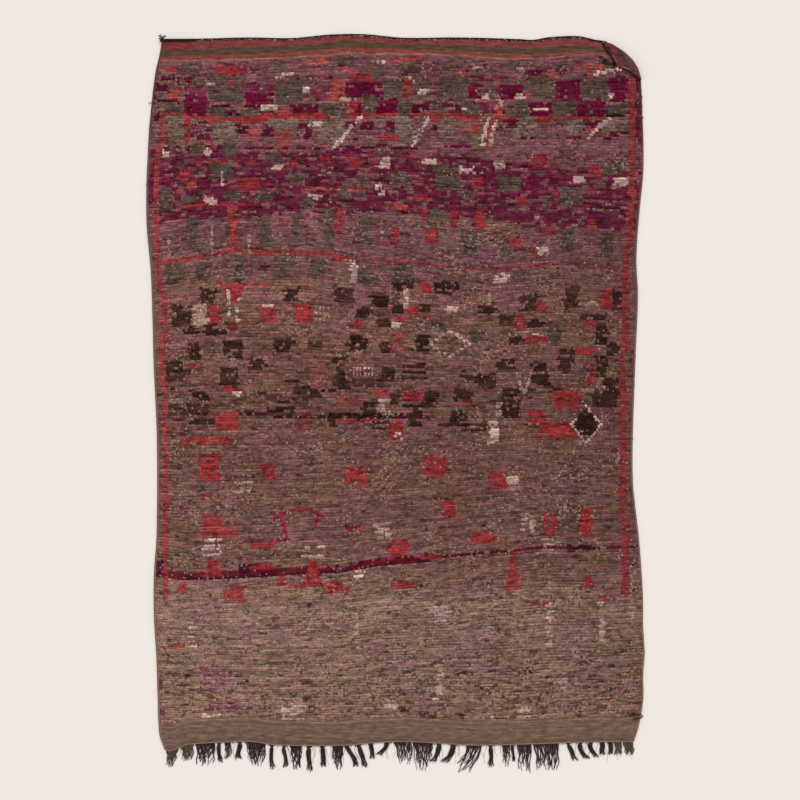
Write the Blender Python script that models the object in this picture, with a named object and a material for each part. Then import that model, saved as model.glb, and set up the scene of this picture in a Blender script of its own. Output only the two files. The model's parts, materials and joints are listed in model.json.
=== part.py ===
"""Hand-knotted wool rug, laid out flat, with one top corner folded over.

Lengths are in metres. X runs across the rug, Y runs along it from the
fringed end towards the corded end, and Z is up from the floor. The origin is
on the underside, in the middle of the cloth.
"""

import math
import random

import bmesh
import bpy
from mathutils import Vector
from mathutils import noise

MM = 0.001
GAP = 0.3 * MM

# Cloth depths: the knotted field, the flat-woven ends and the bound sides
PILE_DEPTH = 11.0 * MM
FLAT_DEPTH = 5.0 * MM
SIDE_DEPTH = 7.0 * MM
LUMP = 0.9 * MM
LUMP_SIZE = 0.11

# Width of each plainly woven end and of the sloping shoulder where pile begins
TOP_FLAT = 0.088
BOTTOM_FLAT = 0.084
SHOULDER = 0.018
SIDE_SHOULDER = 0.030

# The cloth's edge seen in section: its rim draws in above and below
RIM_INSET = 3.0 * MM
FOOT_INSET = 1.0 * MM
RIM_BULGE = 0.45

# Side edges, from the fringed end up: (along, across)
LEFT_EDGE = (
    (-1.290, -0.858),
    (-1.230, -0.877),
    (-1.100, -0.883),
    (-0.944, -0.888),
    (-0.800, -0.897),
    (-0.640, -0.897),
    (-0.490, -0.887),
    (-0.140, -0.886),
    (0.145, -0.898),
    (0.300, -0.902),
    (0.490, -0.909),
    (0.657, -0.924),
    (0.810, -0.925),
    (0.900, -0.921),
    (1.025, -0.914),
    (1.215, -0.893),
    (1.297, -0.875),
    (1.345, -0.868),
)
RIGHT_EDGE = (
    (-1.261, 0.886),
    (-1.204, 0.904),
    (-1.100, 0.921),
    (-1.014, 0.920),
    (-0.930, 0.926),
    (-0.840, 0.920),
    (-0.713, 0.919),
    (-0.513, 0.905),
    (-0.364, 0.888),
    (-0.300, 0.882),
    (-0.152, 0.881),
    (0.175, 0.892),
    (0.400, 0.901),
    (0.510, 0.895),
    (0.600, 0.898),
    (0.724, 0.908),
    (0.866, 0.921),
    (1.122, 0.917),
    (1.197, 0.913),
)

# End edges, from left to right: (across, along)
TOP_EDGE = (
    (-0.868, 1.345),
    (-0.711, 1.346),
    (-0.548, 1.350),
    (-0.381, 1.348),
    (-0.240, 1.361),
    (-0.113, 1.362),
    (0.028, 1.349),
    (0.232, 1.350),
    (0.462, 1.344),
    (0.510, 1.341),
    (0.570, 1.351),
    (0.680, 1.355),
    (0.756, 1.342),
)
BOTTOM_EDGE = (
    (-0.858, -1.290),
    (-0.835, -1.296),
    (-0.805, -1.284),
    (-0.770, -1.272),
    (-0.600, -1.262),
    (-0.530, -1.262),
    (-0.440, -1.274),
    (-0.180, -1.275),
    (-0.106, -1.268),
    (0.000, -1.262),
    (0.065, -1.262),
    (0.200, -1.270),
    (0.290, -1.275),
    (0.510, -1.270),
    (0.720, -1.263),
    (0.886, -1.261),
)

# The rounded fold across the top right corner: (across, along)
FOLD_LINE = (
    (0.756, 1.342),
    (0.782, 1.337),
    (0.806, 1.328),
    (0.847, 1.302),
    (0.881, 1.270),
    (0.902, 1.236),
    (0.913, 1.197),
)
# The flap's free edges, from the top edge to its tip and on to the side
FLAP_END_EDGE = (
    (0.778, 1.318),
    (0.806, 1.280),
    (0.826, 1.242),
)
FLAP_SIDE_EDGE = (
    (0.826, 1.242),
    (0.862, 1.230),
    (0.899, 1.207),
)
FLAP_THIN = 4.6 * MM
FLAP_THICK = 6.6 * MM
FLAP_CLEAR = 1.4 * MM
ROLL_TOP = 12.0 * MM
ROLL_RISE = 2.2 * MM
FOLD_RIM_INSET = 9.0 * MM
FOLD_BELT_INSET = 4.0 * MM
FOLD_FOOT_INSET = 3.0 * MM

# Columns and rows of the cloth's face: close together beside each edge,
# even over the field, and again over the folded corner
SIDE_COLUMNS = (0.000, 0.010, 0.030)
END_ROWS = (0.000, 0.010, 0.045, 0.080, 0.102)
FIELD_COLUMNS = 24
FIELD_ROWS = 36
CORNER_STEPS = 6
LEFT_CORNER = 1.215

# Shares of the fold at which the flap starts and shows its tip
FLAP_START = 0.5 / CORNER_STEPS
FLAP_TIP = 0.5

# Plaited cord along the top edge and down the flap
CORD_RADIUS = 2.6 * MM
CORD_START = 0.006
CORD_CLIMB = 0.010
SHARE_STEP = 0.01

# Fringe heading and its locks
HEADING_WIDTH = 5.0 * MM
HEADING_HEIGHT = 4.2 * MM
HEADING_MARGIN = 2.0 * MM
CORD_LOCK_HEIGHT = 6.5 * MM
LOOSE_LOCK_HEIGHT = 4.0 * MM
LOOSE_SHARE = 0.56
LOCK_STEPS = 6
LOCK_CLEAR = 0.8 * MM
LOCK_SEED = 11
# One row for each bundle of warp ends:
# (root from, root to, length, lean, bow, locks)
FRINGE = (
    (-0.850, -0.806, 0.050, -0.004, 0.000, 4),
    (-0.798, -0.751, 0.048, 0.002, 0.003, 4),
    (-0.744, -0.671, 0.070, -0.003, 0.004, 5),
    (-0.662, -0.646, 0.071, 0.004, -0.003, 1),
    (-0.636, -0.612, 0.056, 0.000, 0.003, 2),
    (-0.592, -0.571, 0.063, -0.002, 0.002, 1),
    (-0.559, -0.482, 0.072, 0.005, 0.003, 6),
    (-0.467, -0.451, 0.088, 0.003, -0.003, 1),
    (-0.423, -0.407, 0.080, 0.006, 0.003, 1),
    (-0.392, -0.348, 0.074, 0.002, 0.002, 3),
    (-0.329, -0.308, 0.094, 0.002, -0.004, 1),
    (-0.282, -0.262, 0.076, 0.003, 0.003, 1),
    (-0.236, -0.194, 0.082, -0.004, 0.003, 3),
    (-0.191, -0.171, 0.076, 0.036, 0.006, 1),
    (-0.146, -0.126, 0.082, 0.022, 0.003, 1),
    (-0.100, -0.081, 0.058, 0.002, 0.002, 1),
    (-0.046, -0.026, 0.048, -0.026, 0.007, 1),
    (-0.010, 0.055, 0.070, 0.008, 0.008, 4),
    (0.062, 0.138, 0.088, 0.004, 0.003, 6),
    (0.150, 0.172, 0.068, -0.022, 0.005, 1),
    (0.206, 0.230, 0.066, -0.036, 0.004, 1),
    (0.262, 0.322, 0.084, -0.040, 0.006, 4),
    (0.344, 0.362, 0.078, 0.000, 0.003, 1),
    (0.394, 0.424, 0.074, 0.002, 0.003, 2),
    (0.430, 0.440, 0.060, 0.004, 0.000, 1),
    (0.450, 0.504, 0.090, 0.000, 0.004, 4),
    (0.510, 0.606, 0.082, 0.006, 0.003, 7),
    (0.628, 0.648, 0.064, 0.030, 0.004, 1),
    (0.678, 0.698, 0.060, 0.024, -0.009, 1),
    (0.716, 0.736, 0.056, 0.022, -0.008, 1),
    (0.752, 0.774, 0.048, 0.006, 0.003, 1),
    (0.786, 0.804, 0.048, 0.004, 0.003, 1),
    (0.812, 0.838, 0.046, 0.004, 0.002, 3),
    (0.843, 0.880, 0.042, 0.006, 0.002, 4),
)

# Knots with loose yarn ends, at the top left corner and at the flap's tip
TUFT_SIDES = 8
TUFT_HEIGHT = 4.0 * MM
TUFT_STEPS = 4
TASSEL_PLACE = (-0.8660, 1.3494)
TASSEL_RADIUS = 4.0 * MM
TIP_OFFSET = (-0.0005, -0.0043)
TIP_RADIUS = 3.5 * MM
TIP_CLEAR = 2.0 * MM
# One row for each yarn end: (facing in degrees, length, bow)
CORNER_STRANDS = (
    (45.0, 0.017, 0.002),
    (135.0, 0.019, -0.003),
    (180.0, 0.012, 0.001),
)
TIP_STRANDS = (
    (180.0, 0.009, 0.001),
    (225.0, 0.010, -0.001),
    (270.0, 0.012, 0.002),
)

# A slack loop of the edge binding, low on the right side
LOOP_ALONG = -1.166
LOOP_LENGTH = 0.026
LOOP_WIDTH = 0.014
LOOP_RADIUS = 1.6 * MM
LOOP_INSET = 3.0 * MM
LOOP_CLEAR = 1.55 * MM
LOOP_STEPS = 10

COLOURS = {
    "rug": (0.155, 0.082, 0.080),
    "end_cord": (0.018, 0.011, 0.010),
    "fringe": (0.020, 0.011, 0.014),
    "corner_tassel": (0.018, 0.011, 0.010),
    "tip_tuft": (0.55, 0.42, 0.33),
    "edge_loop": (0.030, 0.012, 0.016),
}
WOOL_ROUGHNESS = 0.95


def clear_scene():
    for thing in list(bpy.data.objects):
        bpy.data.objects.remove(thing, do_unlink=True)


def wool(name):
    material = bpy.data.materials.new(name)
    material.use_nodes = True
    shader = material.node_tree.nodes["Principled BSDF"]
    shader.inputs["Base Color"].default_value = (*COLOURS[name], 1.0)
    shader.inputs["Roughness"].default_value = WOOL_ROUGHNESS
    shader.inputs["Metallic"].default_value = 0.0
    return material


def add_mesh(name, mesh_data):
    mesh = bpy.data.meshes.new(name)
    bmesh.ops.recalc_face_normals(mesh_data, faces=mesh_data.faces)
    mesh_data.to_mesh(mesh)
    mesh_data.free()
    mesh.materials.append(wool(name))
    thing = bpy.data.objects.new(name, mesh)
    bpy.context.collection.objects.link(thing)
    mesh.shade_smooth()
    mesh.set_sharp_from_angle(angle=math.radians(40))
    return thing


def add_tube(name, route, radius):
    curve = bpy.data.curves.new(name, "CURVE")
    curve.dimensions = "3D"
    curve.bevel_depth = radius
    curve.bevel_resolution = 2
    curve.use_fill_caps = True
    spline = curve.splines.new("POLY")
    spline.points.add(len(route) - 1)
    for point, place in zip(spline.points, route):
        point.co = (*place, 1.0)
    curve.materials.append(wool(name))
    thing = bpy.data.objects.new(name, curve)
    bpy.context.collection.objects.link(thing)
    return thing


def step_up(low, high, value):
    """0 below low, 1 above high, and an even S between them."""
    share = min(max((value - low) / (high - low), 0.0), 1.0)
    return share * share * (3.0 - 2.0 * share)


def read_edge(table, place):
    """A smooth curve through the rows of an edge table."""
    place = min(max(place, table[0][0]), table[-1][0])
    last = len(table) - 1
    row = next(i for i in range(last) if place <= table[i + 1][0])
    (x0, y0), (x1, y1) = table[row], table[row + 1]
    before = table[max(row - 1, 0)]
    after = table[min(row + 2, last)]
    slope0 = (y1 - before[1]) / (x1 - before[0])
    slope1 = (after[1] - y0) / (after[0] - x0)
    span = x1 - x0
    t = (place - x0) / span
    value = y0 * (1 + 2 * t) * (1 - t) ** 2 + y1 * t * t * (3 - 2 * t)
    return value + span * (slope0 * t * (1 - t) ** 2 - slope1 * t * t * (1 - t))


def read_path(points, share):
    """A place along a short run of points, by its share of the length."""
    places = [Vector(point) for point in points]
    runs = [(b - a).length for a, b in zip(places, places[1:])]
    left = share * sum(runs)
    for start, end, run in zip(places, places[1:], runs):
        if left <= run:
            return start.lerp(end, left / run)
        left -= run
    return places[-1]


def read_straight(points, x):
    """Height of a row of points at x, straight from each to the next."""
    for start, end in zip(points, points[1:]):
        if x <= end.x:
            return start.y + (end.y - start.y) * (x - start.x) / (end.x - start.x)
    return points[-1].y


def cloth_depth(x, y):
    """Depth of the cloth at a place on the rug."""
    from_top = read_edge(TOP_EDGE, x) - y
    from_bottom = y - read_edge(BOTTOM_EDGE, x)
    from_left = x - read_edge(LEFT_EDGE, y)
    from_right = read_edge(RIGHT_EDGE, y) - x
    from_side = min(from_left, from_right)
    piled = step_up(TOP_FLAT, TOP_FLAT + SHOULDER, from_top)
    piled *= step_up(BOTTOM_FLAT, BOTTOM_FLAT + SHOULDER, from_bottom)
    inner = step_up(RIM_INSET, SIDE_SHOULDER, from_side)
    full = SIDE_DEPTH + (PILE_DEPTH - SIDE_DEPTH) * inner
    depth = FLAT_DEPTH + (full - FLAT_DEPTH) * piled
    spot = Vector((x / LUMP_SIZE, y / LUMP_SIZE, 0.0))
    return depth + LUMP * noise.noise(spot) * (0.3 + 0.7 * piled)


def even_run(start, end, count):
    """The places after start that part a run into even steps."""
    return [start + (end - start) * (i + 1) / count for i in range(count)]


def bottom_row():
    corner, end = FOLD_LINE[0][0], BOTTOM_EDGE[-1][0]
    columns = [BOTTOM_EDGE[0][0] + step for step in SIDE_COLUMNS]
    columns += even_run(columns[-1], corner, FIELD_COLUMNS)
    columns += even_run(corner, end, CORNER_STEPS)
    return [Vector((x, read_edge(BOTTOM_EDGE, x))) for x in columns]


def top_row(bottom):
    """The top edge up to the fold, then half of the fold, over the same columns."""
    start, corner = TOP_EDGE[0][0], TOP_EDGE[-1][0]
    low, high = bottom[0].x, bottom[-1 - CORNER_STEPS].x
    row = []
    for point in bottom[:-CORNER_STEPS]:
        x = start + (corner - start) * (point.x - low) / (high - low)
        row.append(Vector((x, read_edge(TOP_EDGE, x))))
    shares = even_run(0.0, 0.5, CORNER_STEPS)
    return row + [read_path(FOLD_LINE, share) for share in shares]


def side_column(table, corner):
    """One side, with rows close together over the flat-woven end."""
    rows = [table[0][0] + step for step in END_ROWS]
    rows += even_run(rows[-1], corner, FIELD_ROWS)
    return [Vector((read_edge(table, row), row)) for row in rows]


def cloth_edges():
    """The cloth's outline as four runs of points: bottom, top, left and right."""
    bottom = bottom_row()
    left = side_column(LEFT_EDGE, LEFT_CORNER)
    rows = even_run(LEFT_CORNER, LEFT_EDGE[-1][0], CORNER_STEPS)
    left += [Vector((read_edge(LEFT_EDGE, row), row)) for row in rows]
    right = side_column(RIGHT_EDGE, RIGHT_EDGE[-1][0])
    shares = even_run(1.0, 0.5, CORNER_STEPS)
    right += [read_path(FOLD_LINE, share) for share in shares]
    return bottom, top_row(bottom), left, right


def drawn_in(loop, insets):
    """Each point of a closed outline moved inwards by its own inset."""
    moved = []
    for i, point in enumerate(loop):
        along = loop[(i + 1) % len(loop)] - loop[i - 1]
        inwards = Vector((-along.y, along.x)).normalized()
        moved.append(point + inwards * insets[i])
    return moved


def flap_rest(share):
    """Height of the flap's underside, which lies on the face."""
    on_pile = step_up(0.02, 0.34, share)
    return FLAT_DEPTH + (PILE_DEPTH + LUMP - FLAT_DEPTH) * on_pile + FLAP_CLEAR


def flap_edge(share):
    """The flap's free edge, and the way to it from the fold."""
    if share < FLAP_TIP:
        edge = read_path(FLAP_END_EDGE, (share - FLAP_START) / (FLAP_TIP - FLAP_START))
    else:
        edge = read_path(FLAP_SIDE_EDGE, (share - FLAP_TIP) / (1.0 - FLAP_TIP))
    return edge, (edge - read_path(FOLD_LINE, share)).normalized()


def flap_section(share):
    """Points of the folded flap, from its foot over the roll and back to the face."""
    contour = read_path(FOLD_LINE, share)
    edge, inwards = flap_edge(share)
    width = (edge - contour).length
    half = 0.5 * (width + ROLL_TOP)
    depth = FLAP_THIN + (FLAP_THICK - FLAP_THIN) * step_up(0.3, 1.0, share)
    rest = flap_rest(share)
    crown = rest + depth + ROLL_RISE
    section = (
        (0.8 * MM, 0.20 * crown),
        (0.0, 0.50 * crown),
        (1.6 * MM, 0.80 * crown),
        (6.0 * MM, 0.97 * crown),
        (ROLL_TOP, crown),
        (half, crown - 0.4 * ROLL_RISE),
        (width, rest + depth),
        (width, rest),
        (half, rest + 0.4 * MM),
        (ROLL_TOP + 1.0 * MM, rest + 0.3 * MM),
        (8.0 * MM, rest - 0.3 * FLAP_CLEAR),
    )
    return [Vector((*(contour + inwards * reach), z)) for reach, z in section]


def across_grid(rim, columns, rows):
    """Points inside the rim, blended from its four sides."""
    right, top = columns - 1, columns + rows - 2
    left = top + columns - 1
    bottom_side = rim[:columns]
    right_side = rim[right : top + 1]
    top_side = rim[top : left + 1][::-1]
    left_side = [rim[0]] + rim[left:][::-1]
    low, high = bottom_side[0].x, bottom_side[-1].x
    grid = []
    for j in range(rows):
        v = (left_side[j].y - left_side[0].y) / (left_side[-1].y - left_side[0].y)
        line = []
        for i in range(columns):
            u = (bottom_side[i].x - low) / (high - low)
            ends = bottom_side[i].lerp(top_side[i], v)
            sides = left_side[j].lerp(right_side[j], u)
            below = bottom_side[0].lerp(bottom_side[-1], u)
            above = top_side[0].lerp(top_side[-1], u)
            line.append(ends + sides - below.lerp(above, v))
        grid.append(line)
    return grid


def make_rug():
    """One solid: the face, its rim, the flat underside and the folded flap."""
    bottom, top, left, right = cloth_edges()
    columns, rows = len(bottom), len(left)
    loop = bottom + right[1:] + top[-2::-1] + left[-2:0:-1]
    corner = columns + rows - 2
    flap_from, flap_to = corner - CORNER_STEPS, corner + CORNER_STEPS - 1
    flap = range(flap_from, flap_to + 1)

    def rim_at(normal, folded):
        return drawn_in(loop, [folded if k in flap else normal for k in range(len(loop))])

    rim = rim_at(RIM_INSET, FOLD_RIM_INSET)
    belt = rim_at(0.0, FOLD_BELT_INSET)
    foot = rim_at(FOOT_INSET, FOLD_FOOT_INSET)

    cloth = bmesh.new()
    grid = [
        [cloth.verts.new((*p, cloth_depth(p.x, p.y))) for p in line]
        for line in across_grid(rim, columns, rows)
    ]
    rim_verts = grid[0] + [line[-1] for line in grid[1:]]
    rim_verts += grid[-1][-2::-1] + [line[0] for line in grid[-2:0:-1]]
    foot_verts = [cloth.verts.new((*p, 0.0)) for p in foot]
    belt_verts = {
        k: cloth.verts.new((*belt[k], RIM_BULGE * rim_verts[k].co.z))
        for k in range(len(loop))
        if k not in flap or k in (flap_from, flap_to)
    }
    for low, high in zip(grid, grid[1:]):
        for i in range(columns - 1):
            cloth.faces.new((low[i], low[i + 1], high[i + 1], high[i]))
    sections = {}
    for k in flap:
        share = (corner + CORNER_STEPS - k) / (2 * CORNER_STEPS)
        sections[k] = [cloth.verts.new(place) for place in flap_section(share)]
    for k in range(len(loop)):
        after = (k + 1) % len(loop)
        if k in flap and after in flap:
            near = [foot_verts[k]] + sections[k] + [rim_verts[k]]
            far = [foot_verts[after]] + sections[after] + [rim_verts[after]]
        else:
            near = [foot_verts[k], belt_verts[k], rim_verts[k]]
            far = [foot_verts[after], belt_verts[after], rim_verts[after]]
        for a, b, c, d in zip(near, far, far[1:], near[1:]):
            cloth.faces.new((a, b, c, d))
    for k in (flap_from, flap_to):
        close_flap(cloth, foot_verts[k], belt_verts[k], rim_verts[k], sections[k])
    cloth.faces.new(foot_verts[::-1])
    return add_mesh("rug", cloth)


def close_flap(cloth, foot, belt, rim, section):
    """The flap's end, a hook-shaped strip between its outer and inner lines."""
    roll, top, under = section[:5], section[5:7], section[7:]
    edge_low, half_low, seat, throat = under
    outer = [foot, roll[0], roll[1], roll[2], roll[3], roll[4], top[0], top[1]]
    inner = [belt, rim, throat, throat, seat, seat, half_low, edge_low]
    for a, b, c, d in zip(outer, outer[1:], inner[1:], inner):
        corners = [a, b, c, d] if c is not d else [a, b, c]
        cloth.faces.new(corners)


def make_end_cord():
    """The plaited cord beside the top edge, which climbs onto the flap's edge."""
    beside = CORD_RADIUS + GAP
    start, end = TOP_EDGE[0][0] + CORD_START, TOP_EDGE[-1][0] - CORD_CLIMB
    outline = top_row(bottom_row())
    places = [start] + [point.x for point in outline if start < point.x < end] + [end]
    route = []
    for x in places:
        route.append((x, read_straight(outline, x) + beside + 0.1 * MM, CORD_RADIUS + GAP))
    corner = Vector(FOLD_LINE[0])
    on_flat = FLAT_DEPTH + LUMP + CORD_RADIUS
    route.append((corner.x + 1 * MM, corner.y + 3 * MM, 0.55 * on_flat + 0.5 * MM))
    route.append((corner.x + 11 * MM, corner.y - 5 * MM, on_flat + GAP))
    for share in [FLAP_START] + even_run(FLAP_START, FLAP_TIP, CORNER_STEPS - 1):
        share = min(share, FLAP_TIP - SHARE_STEP)
        before, _ = flap_edge(share)
        after, _ = flap_edge(share + 0.9 * SHARE_STEP)
        along = (after - before).normalized()
        place = before + Vector((along.y, -along.x)) * (beside + 0.2 * MM)
        route.append((*place, flap_rest(share) - FLAP_CLEAR + CORD_RADIUS + 2 * GAP))
    return add_tube("end_cord", route, CORD_RADIUS)


def lock_places(bundle, chance):
    """The locks of one bundle: root, width, height, reach, lean and bow of each."""
    start, end, length, lean, bow, count = bundle
    pitch = (end - start) / count
    width = pitch if count == 1 else LOOSE_SHARE * pitch
    locks = []
    for i in range(count):
        side = 0.0 if count == 1 else 2.0 * i / (count - 1) - 1.0
        reach = length * (1.0 if count == 1 else chance.uniform(0.72, 1.12))
        locks.append(
            {
                "root": start + pitch * (i + 0.5),
                "width": width,
                "height": CORD_LOCK_HEIGHT if count == 1 else LOOSE_LOCK_HEIGHT,
                "reach": reach,
                "lean": lean + 0.25 * pitch * side,
                "bow": bow * (1.0 if count == 1 else chance.uniform(-1.0, 1.0)),
            }
        )
    return locks


def lock_line(lock, edge_y):
    """Centre, half width and height of a lock at each step from root to tip."""
    line = []
    for step in range(1, LOCK_STEPS + 1):
        t = step / LOCK_STEPS
        x = lock["root"] + lock["lean"] * t ** 1.4 + lock["bow"] * math.sin(math.pi * t)
        twist = 1.0 + 0.12 * (-1) ** step
        half = 0.5 * lock["width"] * (1.0 - 0.60 * t * t) * twist
        height = lock["height"] * (1.0 - 0.45 * t * t) * twist
        line.append((Vector((x, edge_y - lock["reach"] * t)), half, height))
    return line


def part_locks(locks, outline):
    """Leans each lock away from the one on its left until they stand apart."""
    for _ in range(4):
        for one, other in zip(locks, locks[1:]):
            near = lock_line(one, read_straight(outline, one["root"]))
            far = lock_line(other, read_straight(outline, other["root"]))
            short = 0.0
            for (a, half_a, _), (b, half_b, _) in zip(near, far):
                room = (b.x - half_b) - (a.x + half_a)
                short = max(short, LOCK_CLEAR - room)
            other["lean"] += 0.6 * short
            one["lean"] -= 0.6 * short


def make_fringe():
    """The heading beside the bottom edge, with the locks that grow out of it."""
    outline = bottom_row()
    chance = random.Random(LOCK_SEED)
    locks = [lock for bundle in FRINGE for lock in lock_places(bundle, chance)]
    part_locks(locks, outline)
    roots = [(k["root"] - 0.5 * k["width"], k["root"] + 0.5 * k["width"]) for k in locks]
    stations = [outline[0].x + HEADING_MARGIN, outline[-1].x - HEADING_MARGIN]
    stations += [x for root in roots for x in root]
    for point in outline[1:-1]:
        if all(not low - GAP < point.x < high + GAP for low, high in roots):
            stations.append(point.x)
    stations.sort()

    strip = bmesh.new()
    rings = []
    for x in stations:
        inner = read_straight(outline, x) - GAP
        outer = inner - HEADING_WIDTH
        corners = ((inner, 0.0), (inner, HEADING_HEIGHT), (outer, HEADING_HEIGHT), (outer, 0.0))
        rings.append([strip.verts.new((x, y, z)) for y, z in corners])
    starts = {round(low, 7): lock for (low, _), lock in zip(roots, locks)}
    for x, near, far in zip(stations, rings, rings[1:]):
        for i, j in ((0, 1), (1, 2), (3, 0)):
            strip.faces.new((near[i], near[j], far[j], far[i]))
        lock = starts.get(round(x, 7))
        face = (near[3], far[3], far[2], near[2])
        if lock is None:
            strip.faces.new(face)
        else:
            grow_lock(strip, face, lock_line(lock, near[3].co.y))
    strip.faces.new(rings[0])
    strip.faces.new(rings[-1][::-1])
    return add_mesh("fringe", strip)


def grow_lock(body, face, line):
    """Rings of four points from a root face to the tip, which is closed."""
    ring = face
    before = sum((v.co for v in face), Vector()) / 4
    for place, half, height in line:
        heading = (place - before.to_2d()).normalized()
        across = Vector((-heading.y, heading.x)) * half
        low, high = place - across, place + across
        corners = ((*low, 0.0), (*high, 0.0), (*high, height), (*low, height))
        after = [body.verts.new(c) for c in corners]
        for i in range(4):
            body.faces.new((ring[i], ring[(i + 1) % 4], after[(i + 1) % 4], after[i]))
        ring, before = after, Vector((*place, 0.0))
    body.faces.new(ring)


def make_tuft(name, centre, radius, strands):
    """A small knot, a low eight-sided block, with yarn ends out of its sides."""
    knot = bmesh.new()
    low, high = [], []
    for i in range(TUFT_SIDES):
        turn = 2.0 * math.pi * (i - 0.5) / TUFT_SIDES
        x, y = centre.x + radius * math.cos(turn), centre.y + radius * math.sin(turn)
        low.append(knot.verts.new((x, y, centre.z)))
        high.append(knot.verts.new((x, y, centre.z + TUFT_HEIGHT)))
    knot.faces.new(high)
    knot.faces.new(low[::-1])
    facing = {round(angle / (360.0 / TUFT_SIDES)): rest for angle, *rest in strands}
    for i in range(TUFT_SIDES):
        j = (i + 1) % TUFT_SIDES
        face = (low[i], low[j], high[j], high[i])
        if i not in facing:
            knot.faces.new(face)
            continue
        length, bow = facing[i]
        turn = 2.0 * math.pi * i / TUFT_SIDES
        ring = face
        for step in range(1, TUFT_STEPS + 1):
            t = step / TUFT_STEPS
            reach = radius + length * t
            side = bow * math.sin(math.pi * t)
            half = 0.5 * (low[j].co - low[i].co).length * (1.0 - 0.55 * t)
            after = []
            for offset, z in ((-half, 0.0), (half, 0.0), (half, 1.0), (-half, 1.0)):
                x = centre.x + reach * math.cos(turn) - (side + offset) * math.sin(turn)
                y = centre.y + reach * math.sin(turn) + (side + offset) * math.cos(turn)
                rise = TUFT_HEIGHT * (1.0 - 0.5 * t) * z
                after.append(knot.verts.new((x, y, centre.z + rise)))
            for k in range(4):
                knot.faces.new((ring[k], ring[(k + 1) % 4], after[(k + 1) % 4], after[k]))
            ring = after
        knot.faces.new(ring)
    return add_mesh(name, knot)


def make_edge_loop():
    """A slack loop of the binding, which lies on the right edge's face."""
    edge = read_edge(RIGHT_EDGE, LOOP_ALONG)
    route = []
    for step in range(LOOP_STEPS + 1):
        turn = math.pi * (step / LOOP_STEPS - 0.5)
        x = edge - LOOP_INSET - LOOP_LENGTH * math.cos(turn)
        y = LOOP_ALONG + 0.5 * LOOP_WIDTH * math.sin(turn)
        route.append((x, y, cloth_depth(x, y) + LOOP_RADIUS + LOOP_CLEAR))
    return add_tube("edge_loop", route, LOOP_RADIUS)


def main():
    clear_scene()
    make_rug()
    make_end_cord()
    make_fringe()
    top_left = Vector((*TASSEL_PLACE, 0.0))
    make_tuft("corner_tassel", top_left, TASSEL_RADIUS, CORNER_STRANDS)
    tip, _ = flap_edge(FLAP_TIP)
    tip += Vector(TIP_OFFSET)
    tip_place = Vector((*tip, cloth_depth(*tip) + TIP_CLEAR))
    make_tuft("tip_tuft", tip_place, TIP_RADIUS, TIP_STRANDS)
    make_edge_loop()


main()
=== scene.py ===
# %% [markdown]
# # A hand-knotted wool rug with one folded corner
#
# The CAD model already holds the rug's size: a flat cloth with its top right
# corner folded over, a fringe, a plaited end cord and three small yarn ends.
# This lesson dresses it. Real knots stand on a woven ground, and their colours
# follow the photograph: borders, checks, bars and lozenges of a village weaver.

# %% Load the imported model
import json
import math
import random

import bpy
import numpy as np
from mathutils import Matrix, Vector, noise

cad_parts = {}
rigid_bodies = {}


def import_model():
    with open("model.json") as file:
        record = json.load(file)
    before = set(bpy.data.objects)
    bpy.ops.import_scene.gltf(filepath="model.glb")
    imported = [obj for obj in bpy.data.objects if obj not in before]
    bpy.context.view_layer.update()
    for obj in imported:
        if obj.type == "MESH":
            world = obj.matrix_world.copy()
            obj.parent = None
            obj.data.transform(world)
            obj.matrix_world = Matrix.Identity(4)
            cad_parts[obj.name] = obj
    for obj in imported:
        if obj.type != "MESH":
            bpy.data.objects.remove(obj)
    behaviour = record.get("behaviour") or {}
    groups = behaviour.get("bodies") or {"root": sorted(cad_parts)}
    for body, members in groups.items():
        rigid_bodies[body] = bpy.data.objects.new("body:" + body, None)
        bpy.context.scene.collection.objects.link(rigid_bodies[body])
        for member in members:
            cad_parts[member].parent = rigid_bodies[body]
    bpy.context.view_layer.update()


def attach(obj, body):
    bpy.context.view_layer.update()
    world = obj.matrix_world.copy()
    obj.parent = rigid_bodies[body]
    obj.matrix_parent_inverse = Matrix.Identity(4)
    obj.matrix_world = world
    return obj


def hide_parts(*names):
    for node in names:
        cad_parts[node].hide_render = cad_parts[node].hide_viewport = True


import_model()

MM = 0.001

# %% [markdown]
# ## From the photograph to metres
#
# The photograph looks straight down on the rug, 800 columns by 800 rows. The
# rug is 1.85 m across its widest place, which makes one column 3.715 mm. Two
# small functions turn a place in the photograph into a place on the floor, so
# that a check or a bar can be written down where it is seen.

# %% Turn columns and rows of the photograph into metres
PIXEL = 3.715 * MM
MIDDLE_COLUMN, MIDDLE_ROW = 395.5, 402.0
PHOTO_SIDE = 800


def across(column):
    return (column - MIDDLE_COLUMN) * PIXEL


def along(row):
    return (MIDDLE_ROW - row) * PIXEL


def column_at(x):
    return x / PIXEL + MIDDLE_COLUMN


def row_at(y):
    return MIDDLE_ROW - y / PIXEL


print("The photograph is", round(PHOTO_SIDE * PIXEL, 3), "m across")

# %% [markdown]
# ## Camera, light and floor
#
# The camera hangs 9 m above the floor with a long lens, so that the rug shows
# almost no perspective. The light is soft and even: a pale sky on all sides,
# and one broad lamp from the upper right that gives the rows of knots a
# shaded side. The floor is plain and pale.

# %% Hang the camera over the rug
EYE_HEIGHT = 9.0
SENSOR_WIDTH = 36.0
lens = bpy.data.cameras.new("overhead")
lens.sensor_width = SENSOR_WIDTH
lens.lens = SENSOR_WIDTH * EYE_HEIGHT / (PHOTO_SIDE * PIXEL)
lens.clip_end = 100.0
camera = bpy.data.objects.new("overhead", lens)
camera.location = (across(PHOTO_SIDE / 2), along(PHOTO_SIDE / 2), EYE_HEIGHT)
bpy.context.collection.objects.link(camera)
bpy.context.scene.camera = camera
print("Lens of", round(lens.lens, 1), "mm at", EYE_HEIGHT, "m")

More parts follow.
